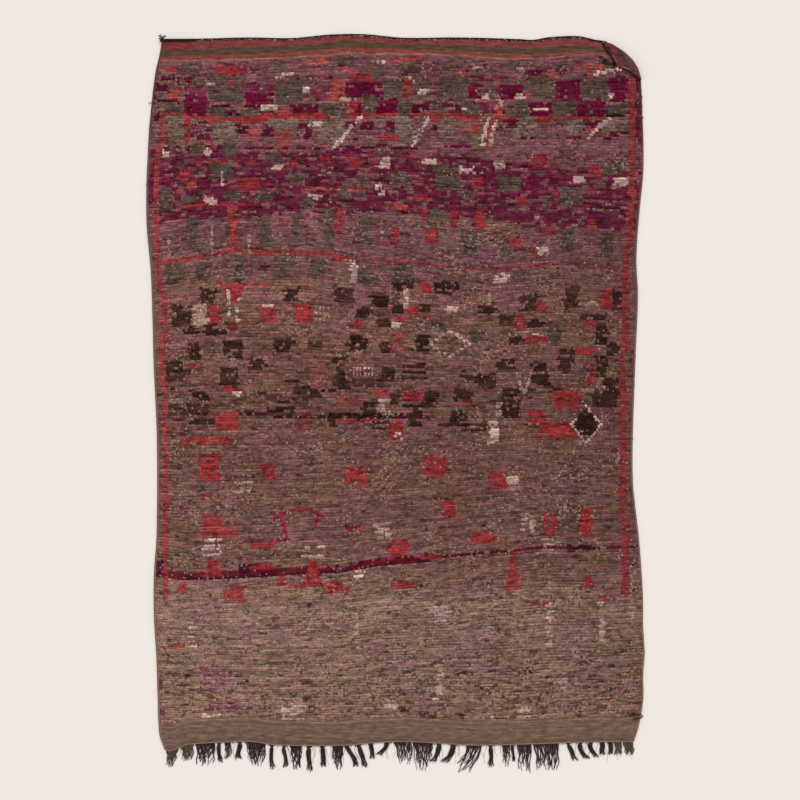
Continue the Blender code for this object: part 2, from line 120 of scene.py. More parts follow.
# %% Light it softly
SKY_STRENGTH = 0.62
SKY_COLOUR = (1.0, 0.985, 0.965)
LAMP_STRENGTH = 1.55
LAMP_SPREAD = 38.0
LAMP_TILT = (-34.0, 26.0, 0.0)

world = bpy.data.worlds.new("studio")
world.use_nodes = True
sky = world.node_tree.nodes["Background"]
sky.inputs["Color"].default_value = (*SKY_COLOUR, 1.0)
sky.inputs["Strength"].default_value = SKY_STRENGTH
bpy.context.scene.world = world
bpy.context.scene.view_settings.view_transform = "Standard"

lamp_data = bpy.data.lights.new("broad_lamp", "SUN")
lamp_data.energy = LAMP_STRENGTH
lamp_data.angle = math.radians(LAMP_SPREAD)
lamp = bpy.data.objects.new("broad_lamp", lamp_data)
lamp.rotation_euler = [math.radians(turn) for turn in LAMP_TILT]
bpy.context.collection.objects.link(lamp)
print("Lamp spread:", LAMP_SPREAD, "degrees")

# %% [markdown]
# ## A short way to write node materials
#
# A finish here is a node material, written as Python arithmetic. `Wire` wraps
# one socket, so `1 - mask` adds a Math node. `Finish` holds one material and
# adds any other node: its settings first, then the values of its sockets.


# %% Wrap a socket, so that arithmetic adds Math nodes
class Wire:
    """One output socket, used as a number in an expression."""

    def __init__(self, finish, socket):
        self.finish, self.socket = finish, socket

    def __add__(self, other):
        return self.finish.maths("ADD", self, other)

    def __sub__(self, other):
        return self.finish.maths("SUBTRACT", self, other)

    def __mul__(self, other):
        return self.finish.maths("MULTIPLY", self, other)

    def __truediv__(self, other):
        return self.finish.maths("DIVIDE", self, other)

    def __rsub__(self, other):
        return self.finish.maths("SUBTRACT", other, self)

    __radd__ = __add__
    __rmul__ = __mul__


# %% Hold one material, and add nodes to it
class Finish:
    """A node material with one shader, which stays matt unless told otherwise."""

    def __init__(self, name, roughness=0.92, sheen=0.25, gloss=0.2):
        self.material = bpy.data.materials.new(name)
        self.material.use_nodes = True
        self.tree = self.material.node_tree
        self.shader = self.tree.nodes["Principled BSDF"]
        self.shader.inputs["Roughness"].default_value = roughness
        self.shader.inputs["Sheen Weight"].default_value = sheen
        self.shader.inputs["Sheen Roughness"].default_value = 0.6
        self.shader.inputs["Specular IOR Level"].default_value = gloss

    def add(self, kind, settings, sockets, output=0):
        node = self.tree.nodes.new(kind)
        for setting, value in settings.items():
            if setting == "stops":
                self.set_stops(node.color_ramp, value)
            else:
                setattr(node, setting, value)
        for socket, value in sockets.items():
            self.feed(node.inputs[socket], value)
        return Wire(self, node.outputs[output])

    def set_stops(self, ramp, stops):
        """Sharp stripes: each colour from its own place up to the next."""
        ramp.interpolation = "CONSTANT"
        while len(ramp.elements) < len(stops):
            ramp.elements.new(1.0)
        for element, (place, colour) in zip(ramp.elements, stops):
            element.position = place
            element.color = (*colour, 1.0)

    def feed(self, socket, value):
        if isinstance(value, Wire):
            self.tree.links.new(value.socket, socket)
        elif hasattr(value, "__len__") and len(value) != len(socket.default_value):
            socket.default_value = (*value, 1.0)
        else:
            socket.default_value = value

    def maths(self, operation, first, second=0.0):
        settings = {"operation": operation}
        return self.add("ShaderNodeMath", settings, {0: first, 1: second})

    def stripes(self, stops, place):
        """The colour of the stripe in which a place lies."""
        return self.add("ShaderNodeValToRGB", {"stops": stops}, {0: place})

    def mix(self, mask, below, above):
        """Two colours: below where the mask is 0, above where it is 1."""
        settings = {"data_type": "RGBA"}
        return self.add("ShaderNodeMix", settings, {0: mask, 6: below, 7: above}, 2)

    def tone(self, colour, strength):
        """A colour made lighter or darker by a number."""
        sockets = {0: colour, "Scale": strength}
        return self.add("ShaderNodeVectorMath", {"operation": "SCALE"}, sockets)

    def stretch(self, place, factors):
        sockets = {0: place, 1: factors}
        return self.add("ShaderNodeVectorMath", {"operation": "MULTIPLY"}, sockets)

    def grain(self, place, scale, detail=2.0):
        """Soft noise from 0 to 1."""
        sockets = {"Vector": place, "Scale": scale, "Detail": detail}
        return self.add("ShaderNodeTexNoise", {}, sockets)

    def read(self, attribute):
        """A vector that the mesh carries at each point."""
        settings = {"attribute_name": attribute}
        return self.add("ShaderNodeAttribute", settings, {}, "Vector")

    def parts(self, vector):
        """The three numbers of a vector."""
        first = self.add("ShaderNodeSeparateXYZ", {}, {0: vector})
        outputs = first.socket.node.outputs
        return [Wire(self, output) for output in outputs]

    def place(self):
        return self.add("ShaderNodeTexCoord", {}, {}, "Object")

    def colour(self, wire):
        self.feed(self.shader.inputs["Base Color"], wire)

    def relief(self, height, depth):
        """A bump: height from 0 to 1, raised by depth in metres."""
        sockets = {"Height": height, "Distance": depth, "Strength": 1.0}
        self.feed(self.shader.inputs["Normal"], self.add("ShaderNodeBump", {}, sockets))


def linear(red, green, blue):
    """A colour as the eye names it, 0 to 255, turned into amounts of light."""
    shares = np.array([red, green, blue]) / 255.0
    return np.where(shares > 0.04045, ((shares + 0.055) / 1.055) ** 2.4, shares / 12.92)


print("Middle grey is", linear(128, 128, 128).round(3))

# %% [markdown]
# ## The floor
#
# A plain pale floor, far larger than the rug, so that no view shows its end.
# Its finish is a very faint grain on one warm white.

# %% Lay the floor
FLOOR_SIDE = 60.0
FLOOR_LEVEL = -0.4 * MM
FLOOR_WHITE = (0.885, 0.826, 0.785)

floor_mesh = bpy.data.meshes.new("floor")
half_floor = FLOOR_SIDE / 2
floor_corners = [(-1, -1), (1, -1), (1, 1), (-1, 1)]
floor_mesh.from_pydata(
    [(x * half_floor, y * half_floor, FLOOR_LEVEL) for x, y in floor_corners],
    [],
    [(0, 1, 2, 3)],
)
floor = bpy.data.objects.new("floor", floor_mesh)
bpy.context.collection.objects.link(floor)

floor_finish = Finish("pale_floor", roughness=0.9, sheen=0.0)
speck = floor_finish.grain(floor_finish.place(), 180.0)
floor_finish.colour(floor_finish.tone(FLOOR_WHITE, speck * 0.02 + 0.99))
floor_mesh.materials.append(floor_finish.material)
print("Floor laid, with white", FLOOR_WHITE)

# %% [markdown]
# ## The cloth's outline
#
# A village loom never gives straight sides. The outline is four tables of
# places, in metres, the same that the CAD model is built on. A smooth curve
# runs through each table, and NumPy reads it at many places at once.

# %% The four edges
# Side edges, from the fringed end up: (along, across)
LEFT_EDGE = (
    (-1.290, -0.858), (-1.230, -0.877), (-1.100, -0.883), (-0.944, -0.888), (-0.800, -0.897),
    (-0.640, -0.897), (-0.490, -0.887), (-0.140, -0.886), (0.145, -0.898), (0.300, -0.902),
    (0.490, -0.909), (0.657, -0.924), (0.810, -0.925), (0.900, -0.921), (1.025, -0.914),
    (1.215, -0.893), (1.297, -0.875), (1.345, -0.868),
)
RIGHT_EDGE = (
    (-1.261, 0.886), (-1.204, 0.904), (-1.100, 0.921), (-1.014, 0.920), (-0.930, 0.926),
    (-0.840, 0.920), (-0.713, 0.919), (-0.513, 0.905), (-0.364, 0.888), (-0.300, 0.882),
    (-0.152, 0.881), (0.175, 0.892), (0.400, 0.901), (0.510, 0.895), (0.600, 0.898), (0.724, 0.908),
    (0.866, 0.921), (1.122, 0.917), (1.197, 0.913),
)
# End edges, from left to right: (across, along)
TOP_EDGE = (
    (-0.868, 1.345), (-0.711, 1.346), (-0.548, 1.350), (-0.381, 1.348), (-0.240, 1.361),
    (-0.113, 1.362), (0.028, 1.349), (0.232, 1.350), (0.462, 1.344), (0.510, 1.341), (0.570, 1.351),
    (0.680, 1.355), (0.756, 1.342),
)
BOTTOM_EDGE = (
    (-0.858, -1.290), (-0.835, -1.296), (-0.805, -1.284), (-0.770, -1.272), (-0.600, -1.262),
    (-0.530, -1.262), (-0.440, -1.274), (-0.180, -1.275), (-0.106, -1.268), (0.000, -1.262),
    (0.065, -1.262), (0.200, -1.270), (0.290, -1.275), (0.510, -1.270), (0.720, -1.263),
    (0.886, -1.261),
)
# The rounded fold across the top right corner, and the flap's two free edges
FOLD_LINE = (
    (0.756, 1.342), (0.782, 1.337), (0.806, 1.328), (0.847, 1.302), (0.881, 1.270), (0.902, 1.236),
    (0.913, 1.197),
)
FLAP_END_EDGE = ((0.778, 1.318), (0.806, 1.280), (0.826, 1.242))
FLAP_SIDE_EDGE = ((0.826, 1.242), (0.862, 1.230), (0.899, 1.207))
print("Top edge", TOP_EDGE[0][0], "to", TOP_EDGE[-1][0], "m")


# %% Read a smooth curve through an edge table
def read_edge(table, places):
    """The curve's second number wherever its first is one of the places."""
    first, second = np.array(table).T
    places = np.clip(places, first[0], first[-1])
    row = np.clip(np.searchsorted(first, places, side="left") - 1, 0, len(first) - 2)
    before, after = np.maximum(row - 1, 0), np.minimum(row + 2, len(first) - 1)
    x0, x1, y0, y1 = first[row], first[row + 1], second[row], second[row + 1]
    slope0 = (y1 - second[before]) / (x1 - first[before])
    slope1 = (second[after] - y0) / (first[after] - x0)
    span = x1 - x0
    t = (places - x0) / span
    value = y0 * (1 + 2 * t) * (1 - t) ** 2 + y1 * t * t * (3 - 2 * t)
    return value + span * (slope0 * t * (1 - t) ** 2 - slope1 * t * t * (1 - t))


def step_up(low, high, value):
    """0 below low, 1 above high, and an even S between them."""
    share = np.clip((value - low) / (high - low), 0.0, 1.0)
    return share * share * (3.0 - 2.0 * share)


def read_path(points, share):
    """A place along a short run of points, by its share of the length."""
    places = [Vector(point) for point in points]
    runs = [(b - a).length for a, b in zip(places, places[1:])]
    left = share * sum(runs)
    for start, end, run in zip(places, places[1:], runs):
        if left <= run:
            return start.lerp(end, left / run)
        left -= run
    return places[-1]


middle_width = read_edge(RIGHT_EDGE, 0.0) - read_edge(LEFT_EDGE, 0.0)
print("Across the middle:", round(float(middle_width), 3), "m")

# %% [markdown]
# ## How deep the cloth is
#
# Both ends are flat-woven, 5 mm deep. Between them stands the pile, to 11 mm.
# Its woven ground, out of which the knots stand, lies nearly 5 mm lower. The
# surface rolls a little, as wool does that has been walked on for years.

# %% Depth of the cloth and of its ground
PILE_DEPTH, FLAT_DEPTH, SIDE_DEPTH = 11.0 * MM, 5.0 * MM, 7.0 * MM
GROUND_DROP, SIDE_DROP = 4.6 * MM, 0.6
LUMP, LUMP_SIZE, FLAT_LUMP_SHARE = 0.9 * MM, 0.11, 0.3
BOTTOM_FLAT = 0.084
SHOULDER, SIDE_SHOULDER, RIM_INSET = 0.018, 0.030, 3.0 * MM
# Where the striped end stops and the pile starts: (column, row) of the photograph
PILE_START = (
    (140, 62.5), (175, 62.0), (250, 61.0), (300, 58.8), (345, 55.4), (400, 55.6), (450, 57.2),
    (505, 60.0), (550, 59.0), (590, 54.6), (612, 58.0), (650, 60.0),
)


def pile_start(x):
    """How far up the rug the pile reaches, at each place across it."""
    first, second = np.array(PILE_START).T
    return along(np.interp(column_at(x), first, second))


def distances(x, y):
    """How far a place lies from the top, bottom, left and right edge."""
    from_top = read_edge(TOP_EDGE, x) - y
    from_bottom = y - read_edge(BOTTOM_EDGE, x)
    from_left = x - read_edge(LEFT_EDGE, y)
    from_right = read_edge(RIGHT_EDGE, y) - x
    return from_top, from_bottom, from_left, from_right


def lumps(x, y):
    spots = zip(np.ravel(x), np.ravel(y))
    values = [noise.noise(Vector((a / LUMP_SIZE, b / LUMP_SIZE, 0.0))) for a, b in spots]
    return LUMP * np.array(values).reshape(np.shape(x))


def cloth_depth(x, y, drop=0.0):
    """Height of the pile's top, or of the ground when it is dropped."""
    from_top, from_bottom, from_left, from_right = distances(x, y)
    piled = step_up(0.0, SHOULDER, pile_start(x) - y + 0.5 * SHOULDER)
    piled = piled * step_up(BOTTOM_FLAT, BOTTOM_FLAT + SHOULDER, from_bottom)
    from_side = np.minimum(from_left, from_right)
    inner = step_up(RIM_INSET, SIDE_SHOULDER, from_side)
    side_depth = SIDE_DEPTH - SIDE_DROP * drop
    full = side_depth + (PILE_DEPTH - drop - side_depth) * inner
    depth = FLAT_DEPTH + (full - FLAT_DEPTH) * piled
    return depth + lumps(x, y) * (FLAT_LUMP_SHARE + (1.0 - FLAT_LUMP_SHARE) * piled)


print("Depth in the middle:", round(float(cloth_depth(0.0, 0.0)) * 1000, 1), "mm")

# %% [markdown]
# ## The woven cloth
#
# The cloth is one closed sheet: a face, a thin side and an underside, with the
# folded corner as part of it. The face is a grid of points blended from the
# four edges. Along the fold, a short section runs out of the floor, over the
# roll and back onto the face, as thick cloth does when a corner is turned in.

# %% Columns and rows of the grid
EDGE_STEPS = (0.0, 4.0 * MM, 9.0 * MM, 16.0 * MM, 26.0 * MM)
FIELD_COLUMNS, FIELD_ROWS = 72, 70
END_ROW_STEP, END_ROW_COUNT = 4.0 * MM, 24
CORNER_STEPS = 30
LEFT_CORNER = 1.215


def even_run(start, end, count):
    """The places after start that part a run into even steps."""
    return [start + (end - start) * (i + 1) / count for i in range(count)]


def side_places(table, corner):
    rows = [table[0][0] + END_ROW_STEP * i for i in range(END_ROW_COUNT)]
    rows += even_run(rows[-1], corner, FIELD_ROWS)
    return rows


def pair_up(table, places, along_first):
    values = read_edge(table, np.array(places))
    if along_first:
        return [Vector((v, p)) for v, p in zip(values, places)]
    return [Vector((p, v)) for v, p in zip(values, places)]


def cloth_edges():
    """The outline as four runs of points: bottom, top, left and right."""
    corner = FOLD_LINE[0][0]
    columns = [BOTTOM_EDGE[0][0] + step for step in EDGE_STEPS]
    columns += even_run(columns[-1], corner, FIELD_COLUMNS)
    low, high = columns[0], columns[-1]
    shares = [(x - low) / (high - low) for x in columns]
    columns += even_run(corner, BOTTOM_EDGE[-1][0], CORNER_STEPS)
    bottom = pair_up(BOTTOM_EDGE, columns, False)
    start = TOP_EDGE[0][0]
    top = pair_up(TOP_EDGE, [start + (corner - start) * s for s in shares], False)
    top += [read_path(FOLD_LINE, s) for s in even_run(0.0, 0.5, CORNER_STEPS)]
    rows = side_places(LEFT_EDGE, LEFT_CORNER)
    rows += even_run(LEFT_CORNER, LEFT_EDGE[-1][0], CORNER_STEPS)
    left = pair_up(LEFT_EDGE, rows, True)
    right = pair_up(RIGHT_EDGE, side_places(RIGHT_EDGE, RIGHT_EDGE[-1][0]), True)
    right += [read_path(FOLD_LINE, s) for s in even_run(1.0, 0.5, CORNER_STEPS)]
    return bottom, top, left, right


bottom_side, top_side, left_side, right_side = cloth_edges()
COLUMNS, ROWS = len(bottom_side), len(left_side)
outline = bottom_side + right_side[1:] + top_side[-2::-1] + left_side[-2:0:-1]
print("Cloth grid:", COLUMNS, "columns by", ROWS, "rows")


# %% Fill the grid from its rim
def drawn_in(loop, insets):
    """Each point of a closed outline moved inwards by its own inset."""
    moved = []
    for i, point in enumerate(loop):
        run = loop[(i + 1) % len(loop)] - loop[i - 1]
        moved.append(point + Vector((-run.y, run.x)).normalized() * insets[i])
    return moved


def fill_grid(rim):
    """Places inside a rim, blended from its four sides (a Coons patch)."""
    right, top = COLUMNS - 1, COLUMNS + ROWS - 2
    left = top + COLUMNS - 1
    rim = np.array([tuple(point) for point in rim])
    low_side, high_side = rim[:COLUMNS], rim[top : left + 1][::-1]
    near_side = np.vstack((rim[:1], rim[left:][::-1]))
    far_side = rim[right : top + 1]
    u = (low_side[:, 0] - low_side[0, 0]) / (low_side[-1, 0] - low_side[0, 0])
    v = (near_side[:, 1] - near_side[0, 1]) / (near_side[-1, 1] - near_side[0, 1])
    u, v = u[None, :, None], v[:, None, None]
    ends = low_side[None] * (1 - v) + high_side[None] * v
    sides = near_side[:, None] * (1 - u) + far_side[:, None] * u
    below = low_side[0] * (1 - u) + low_side[-1] * u
    above = high_side[0] * (1 - u) + high_side[-1] * u
    return ends + sides - (below * (1 - v) + above * v)


# The fold's share at which the flap starts, and the one that shows its tip
FLAP_START, FLAP_TIP = 0.5 / 6, 0.5
fold_corner = COLUMNS + ROWS - 2
flap_from = fold_corner - CORNER_STEPS
flap_to = fold_corner + CORNER_STEPS - round(2 * CORNER_STEPS * FLAP_START)
INSET_FADE = 6
# How far in each rim lies, along the sides and along the fold
FACE_INSETS, BELT_INSETS = (RIM_INSET, 9.0 * MM), (0.0, 4.0 * MM)
FOOT_INSETS = (1.0 * MM, 3.0 * MM)


def rim_at(plain, folded):
    """The outline drawn in by one inset, and by another along the fold."""
    insets = []
    for k in range(len(outline)):
        beyond = max(flap_from - k, k - flap_to, 0)
        share = max(1.0 - beyond / INSET_FADE, 0.0)
        insets.append(plain + (folded - plain) * share)
    return drawn_in(outline, insets)


face = fill_grid(rim_at(*FACE_INSETS))
belt = rim_at(*BELT_INSETS)
underside = fill_grid(rim_at(*FOOT_INSETS))
print("Points on the face:", face.shape[0] * face.shape[1])

# %% [markdown]
# ## The folded corner
#
# Across the fold, the flap is a section of eleven places: up the outside of
# the roll, along the top of the flap, round its free edge and back along its
# underside. A smooth curve through them rounds every bend.

# %% The flap's section
FLAP_THIN, FLAP_THICK, FLAP_CLEAR = 4.6 * MM, 6.6 * MM, 1.4 * MM
ROLL_TOP, ROLL_RISE = 12.0 * MM, 2.2 * MM
SECTION_CUTS = 3


def flap_rest(share):
    """Height of the flap's underside, which lies on the face."""
    on_pile = step_up(0.02, 0.34, share)
    return FLAT_DEPTH + (PILE_DEPTH + LUMP - FLAT_DEPTH) * on_pile + FLAP_CLEAR


def flap_edge(share):
    """The flap's free edge, and the way to it from the fold."""
    if share < FLAP_TIP:
        edge = read_path(FLAP_END_EDGE, (share - FLAP_START) / (FLAP_TIP - FLAP_START))
    else:
        edge = read_path(FLAP_SIDE_EDGE, (share - FLAP_TIP) / (1.0 - FLAP_TIP))
    return edge, (edge - read_path(FOLD_LINE, share)).normalized()


def rounded(points, cuts):
    """A smooth curve through points, with extra places between them."""
    smooth = []
    for i in range(len(points) - 1):
        a, b = points[max(i - 1, 0)], points[i]
        c, d = points[i + 1], points[min(i + 2, len(points) - 1)]
        for cut in range(cuts):
            t = cut / cuts
            bend = (2 * a - 5 * b + 4 * c - d) * t * t + (3 * b - a - 3 * c + d) * t**3
            smooth.append(0.5 * (2 * b + (c - a) * t + bend))
    return smooth + [points[-1]]


def flap_depth(share):
    """How thick the flap is, which thickens where it is piled."""
    return FLAP_THIN + (FLAP_THICK - FLAP_THIN) * float(step_up(0.3, 1.0, share))


def flap_section(share):
    """Places from the flap's foot over the roll and back to the face."""
    contour = read_path(FOLD_LINE, share)
    edge, inwards = flap_edge(share)
    width = (edge - contour).length
    half = 0.5 * (width + ROLL_TOP)
    depth, rest = flap_depth(share), float(flap_rest(share))
    crown = rest + depth + ROLL_RISE
    section = (
        (0.8 * MM, 0.20 * crown), (0.0, 0.50 * crown), (1.6 * MM, 0.80 * crown),
        (6.0 * MM, 0.97 * crown), (ROLL_TOP, crown), (half, crown - 0.4 * ROLL_RISE),
        (width, rest + depth), (width, rest), (half, rest + 0.4 * MM),
        (ROLL_TOP + 1.0 * MM, rest + 0.3 * MM), (8.0 * MM, rest - 0.3 * FLAP_CLEAR),
    )
    places = [Vector((*(contour + inwards * reach), z)) for reach, z in section]
    return rounded(places, SECTION_CUTS)


flap_points = len(flap_section(FLAP_TIP))
print("Places in each section of the flap:", flap_points)

# %% [markdown]
# ## Join the cloth into one mesh
#
# Points are numbered as they are listed: face, underside, belt and flap. Each
# also carries where it lies in the weaving, which the finish reads for its
# stripes: across the loom, down from the top end and up from the bottom end.
# On the folded flap that place is measured from the flap's own free end.

# %% Build the woven cloth
RIM_BULGE, WEAVE_RELIEF = 0.45, 0.22 * MM
weave_chance = np.random.default_rng(4)
face_x, face_y = face[..., 0], face[..., 1]
face_z = cloth_depth(face_x, face_y, drop=GROUND_DROP)
face_z = face_z + weave_chance.uniform(-WEAVE_RELIEF, WEAVE_RELIEF, face_z.shape)

cloth_places = [*zip(face_x.ravel(), face_y.ravel(), face_z.ravel())]
cloth_places += [(x, y, 0.0) for x, y in underside.reshape(-1, 2)]
cloth_faces = []


def on_face(j, i):
    return j * COLUMNS + i


def below(j, i):
    return ROWS * COLUMNS + j * COLUMNS + i


for j in range(ROWS - 1):
    for i in range(COLUMNS - 1):
        ring = ((j, i), (j, i + 1), (j + 1, i + 1), (j + 1, i))
        cloth_faces.append([on_face(*at) for at in ring])
        cloth_faces.append([below(*at) for at in reversed(ring)])

rim_steps = [(0, i) for i in range(COLUMNS)]
rim_steps += [(j, COLUMNS - 1) for j in range(1, ROWS)]
rim_steps += [(ROWS - 1, i) for i in range(COLUMNS - 2, -1, -1)]
rim_steps += [(j, 0) for j in range(ROWS - 2, 0, -1)]
print("Face and underside:", len(cloth_places), "points, with", len(rim_steps), "on the rim")


# %% Close the cloth's sides, and hang the flap on its fold
def add_place(place):
    cloth_places.append(tuple(place))
    return len(cloth_places) - 1


side_lines = []
for k, step in enumerate(rim_steps):
    rim_z = cloth_places[on_face(*step)][2]
    in_flap = flap_from <= k <= flap_to
    side, fold = [], []
    if not in_flap or k in (flap_from, flap_to):
        side = [add_place((*belt[k], RIM_BULGE * rim_z))]
    if in_flap:
        share = (fold_corner + CORNER_STEPS - k) / (2 * CORNER_STEPS)
        fold = [add_place(place) for place in flap_section(share)]
    side_lines.append((below(*step), side, fold, on_face(*step)))

for k, near in enumerate(side_lines):
    far = side_lines[(k + 1) % len(side_lines)]
    middle = 2 if near[2] and far[2] else 1
    near_line = [near[0], *near[middle], near[3]]
    far_line = [far[0], *far[middle], far[3]]
    for a, b, c, d in zip(near_line, far_line, far_line[1:], near_line[1:]):
        cloth_faces.append([a, b, c, d])
for k, turned in ((flap_from, 1), (flap_to, -1)):
    foot, side, fold, rim = side_lines[k]
    cloth_faces.append([foot, *fold, rim, *side][::turned])
print("Cloth:", len(cloth_places), "points,", len(cloth_faces), "faces")


# %% Turn lists into a piece
def add_piece(name, places, faces, finish):
    """A smooth-shaded piece on the root body, with one finish."""
    mesh = bpy.data.meshes.new(name)
    mesh.from_pydata(places, [], faces)
    mesh.update()
    mesh.materials.append(finish.material)
    mesh.shade_smooth()
    piece = bpy.data.objects.new(name, mesh)
    bpy.context.collection.objects.link(piece)
    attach(piece, "root")
    return piece


def carry(piece, name, values):
    """Stores three numbers at each point, for the finish to read."""
    store = piece.data.attributes.new(name, "FLOAT_VECTOR", "POINT")
    store.data.foreach_set("vector", np.asarray(values, dtype=np.float32).ravel())


print("Every piece rides on the root body")


# %% Say where each point lies in the weaving
# Middle of the dark stripe, as a share of the striped end: (column, share)
DARK_STRIPE = (
    (160, 0.60), (250, 0.56), (330, 0.47), (400, 0.45), (460, 0.50), (560, 0.58), (610, 0.62),
)
DARK_STRIPE_MIDDLE = 0.55


def woven_place(places):
    """Across the loom, shares of the striped end, and up from the bottom end."""
    x, y = places[:, 0], places[:, 1]
    from_top, from_bottom, _, _ = distances(x, y)
    share = from_top / (read_edge(TOP_EDGE, x) - pile_start(x))
    shift = DARK_STRIPE_MIDDLE - np.interp(column_at(x), *np.array(DARK_STRIPE).T)
    inner = np.clip(share, 0.0, 1.0)
    return np.stack((x, share + shift * 4.0 * inner * (1.0 - inner), from_bottom), axis=1)


FLAP_STRIPED = 64.0 * MM


def folded_place(places):
    """The same on the flap, from the line of its free end."""
    start, end = (np.array(point) for point in (FLAP_END_EDGE[0], FLAP_END_EDGE[-1]))
    run = (end - start) / np.linalg.norm(end - start)
    from_start = places[:, :2] - start
    inwards = np.array((-run[1], run[0]))
    return np.stack(
        (from_start @ run, np.abs(from_start @ inwards) / FLAP_STRIPED, np.ones(len(places))),
        axis=1,
    )


spots = np.array(cloth_places)
weave_places = woven_place(spots)
in_fold = [index for _, _, fold, _ in side_lines for index in fold]
weave_places[in_fold] = folded_place(spots[in_fold])
turned = np.zeros((len(spots), 3))
turned[in_fold] = 1.0
print("Points in the fold:", len(in_fold))

# %% [markdown]
# ## The finish of the flat-woven cloth
#
# The top end is striped: red, dark olive, rust and a thin rose line. The
# bottom end is plain taupe with one pale line where the pile starts. A ramp
# turns the distance from the end into a stripe, and noise shakes the distance
# first, so that no stripe has a ruled edge. Fine ribs and crossings of warp
# and weft are a bump, because none is more than 4 mm across.

# %% The stripes of both ends and of the flap
# From the top edge down, as shares of the striped end
TOP_STRIPES = (
    (0.000, linear(104, 50, 48)),
    (0.060, linear(140, 58, 58)),
    (0.400, linear(82, 66, 48)),
    (0.700, linear(150, 63, 58)),
    (0.860, linear(126, 80, 62)),
    (0.905, linear(178, 114, 98)),
    (0.960, linear(118, 78, 78)),
)
# From the bottom edge up, as shares of the span
BOTTOM_SPAN = 0.10
BOTTOM_STRIPES = (
    (0.000, linear(112, 90, 76)),
    (0.160, linear(126, 101, 87)),
    (0.500, linear(134, 110, 92)),
    (0.540, linear(122, 98, 84)),
    (0.640, linear(140, 115, 98)),
    (0.680, linear(124, 99, 85)),
    (0.800, linear(128, 103, 88)),
    (0.835, linear(158, 132, 112)),
    (0.875, linear(126, 99, 88)),
)
# The back of the striped end, from the flap's free end
FLAP_STRIPES = (
    (0.000, linear(70, 32, 32)),
    (0.070, linear(126, 44, 54)),
    (0.360, linear(62, 56, 42)),
    (0.600, linear(110, 58, 58)),
    (1.000, linear(92, 48, 54)),
)
GROUND_WEAVE, CORNER_CRIMSON = linear(96, 62, 60), linear(146, 34, 42)
print("Stripes:", len(TOP_STRIPES), "at the top and", len(BOTTOM_STRIPES), "at the bottom")

# %% Weave the stripes
# How far fine noise shakes a stripe's edge, and how far broad noise sways it
TOP_SHAKE, TOP_SWAY = 0.12, 0.16
BOTTOM_SHAKE, BOTTOM_SWAY = 6.0 * MM, 10.0 * MM
FLAP_SHAKE, FLAP_SWAY = 0.25, 0.5
TOP_END, CORNER_END, FIRST_STRIPE = 1.3, across(192), 0.4

woven = Finish("flat_weave", roughness=0.95, sheen=0.05)
loom, down, up = woven.parts(woven.read("loom"))
loose, _, _ = woven.parts(woven.read("turned"))
place = woven.place()
shake = woven.grain(place, 90.0) - 0.5
sway = woven.grain(place, 9.0) - 0.5
top_colour = woven.stripes(TOP_STRIPES, down + shake * TOP_SHAKE + sway * TOP_SWAY)
bottom_place = (up + shake * BOTTOM_SHAKE + sway * BOTTOM_SWAY) / BOTTOM_SPAN
bottom_colour = woven.stripes(BOTTOM_STRIPES, bottom_place)
near_top = woven.maths("LESS_THAN", down, TOP_END)
at_bottom = woven.maths("LESS_THAN", up, BOTTOM_SPAN)
colour = woven.mix(at_bottom, GROUND_WEAVE, bottom_colour)
# The first stripe is crimson near the left corner
left_end = woven.maths("LESS_THAN", loom + sway * 0.15, CORNER_END)
first_stripe = woven.maths("LESS_THAN", down + shake * 0.2, FIRST_STRIPE)
top_colour = woven.mix(left_end * first_stripe * 0.9, top_colour, CORNER_CRIMSON)
colour = woven.mix(near_top, colour, top_colour)
flap_colour = woven.stripes(FLAP_STRIPES, down + shake * FLAP_SHAKE + sway * FLAP_SWAY)
colour = woven.mix(loose, colour, flap_colour)
print("Stripes woven, the bottom ones over", BOTTOM_SPAN, "m")

# %% Wear the woven ground, and raise its ribs
# Noise is stretched along the weft, so that it reads as runs of one yarn
LONG_GRAIN, PATCH_GRAIN, BROWN_GRAIN = (14.0, 420.0, 1.0), (30.0, 90.0, 1.0), (16.0, 60.0, 1.0)
FLECK_GRAIN = (260.0, 520.0, 520.0)
DARK_FLECK, PALE_FLECK, WORN_BROWN = linear(52, 30, 30), linear(176, 140, 126), linear(104, 70, 58)
RIB_PITCH, WARP_PITCH, WEAVE_BUMP = 2.6 * MM, 4.0 * MM, 0.9 * MM

long_grain = woven.grain(woven.stretch(place, LONG_GRAIN), 1.0)
patch = woven.grain(woven.stretch(place, PATCH_GRAIN), 1.0, detail=4.0)
fleck = woven.grain(woven.stretch(place, FLECK_GRAIN), 1.0, detail=3.0)
dark_fleck = woven.maths("GREATER_THAN", woven.grain(place, 330.0, detail=1.0), 0.62)
colour = woven.mix(dark_fleck * 0.5, colour, DARK_FLECK)
pale_fleck = woven.maths("GREATER_THAN", woven.grain(place, 260.0, detail=1.0), 0.68)
colour = woven.mix(pale_fleck * 0.35, colour, PALE_FLECK)
brown = woven.grain(woven.stretch(place, BROWN_GRAIN), 1.0, detail=3.0)
colour = woven.mix(brown * 1.4 - 0.45, colour, WORN_BROWN)
# Streaks are fainter at the bottom, and the flap lies a little darker
streak = (long_grain - 0.5) * (2.3 - at_bottom * 1.0)
tone = streak + fleck * 0.6 + patch * 1.5 - 0.1
woven.colour(woven.tone(colour, tone - loose * 0.12))
ribs = woven.maths("SINE", up * (math.tau / RIB_PITCH))
warps = woven.maths("SINE", loom * (math.tau / WARP_PITCH))
woven.relief(ribs * 0.25 + ribs * warps * 0.25 + fleck, WEAVE_BUMP)
print("Ribs every", round(RIB_PITCH / MM, 1), "mm")

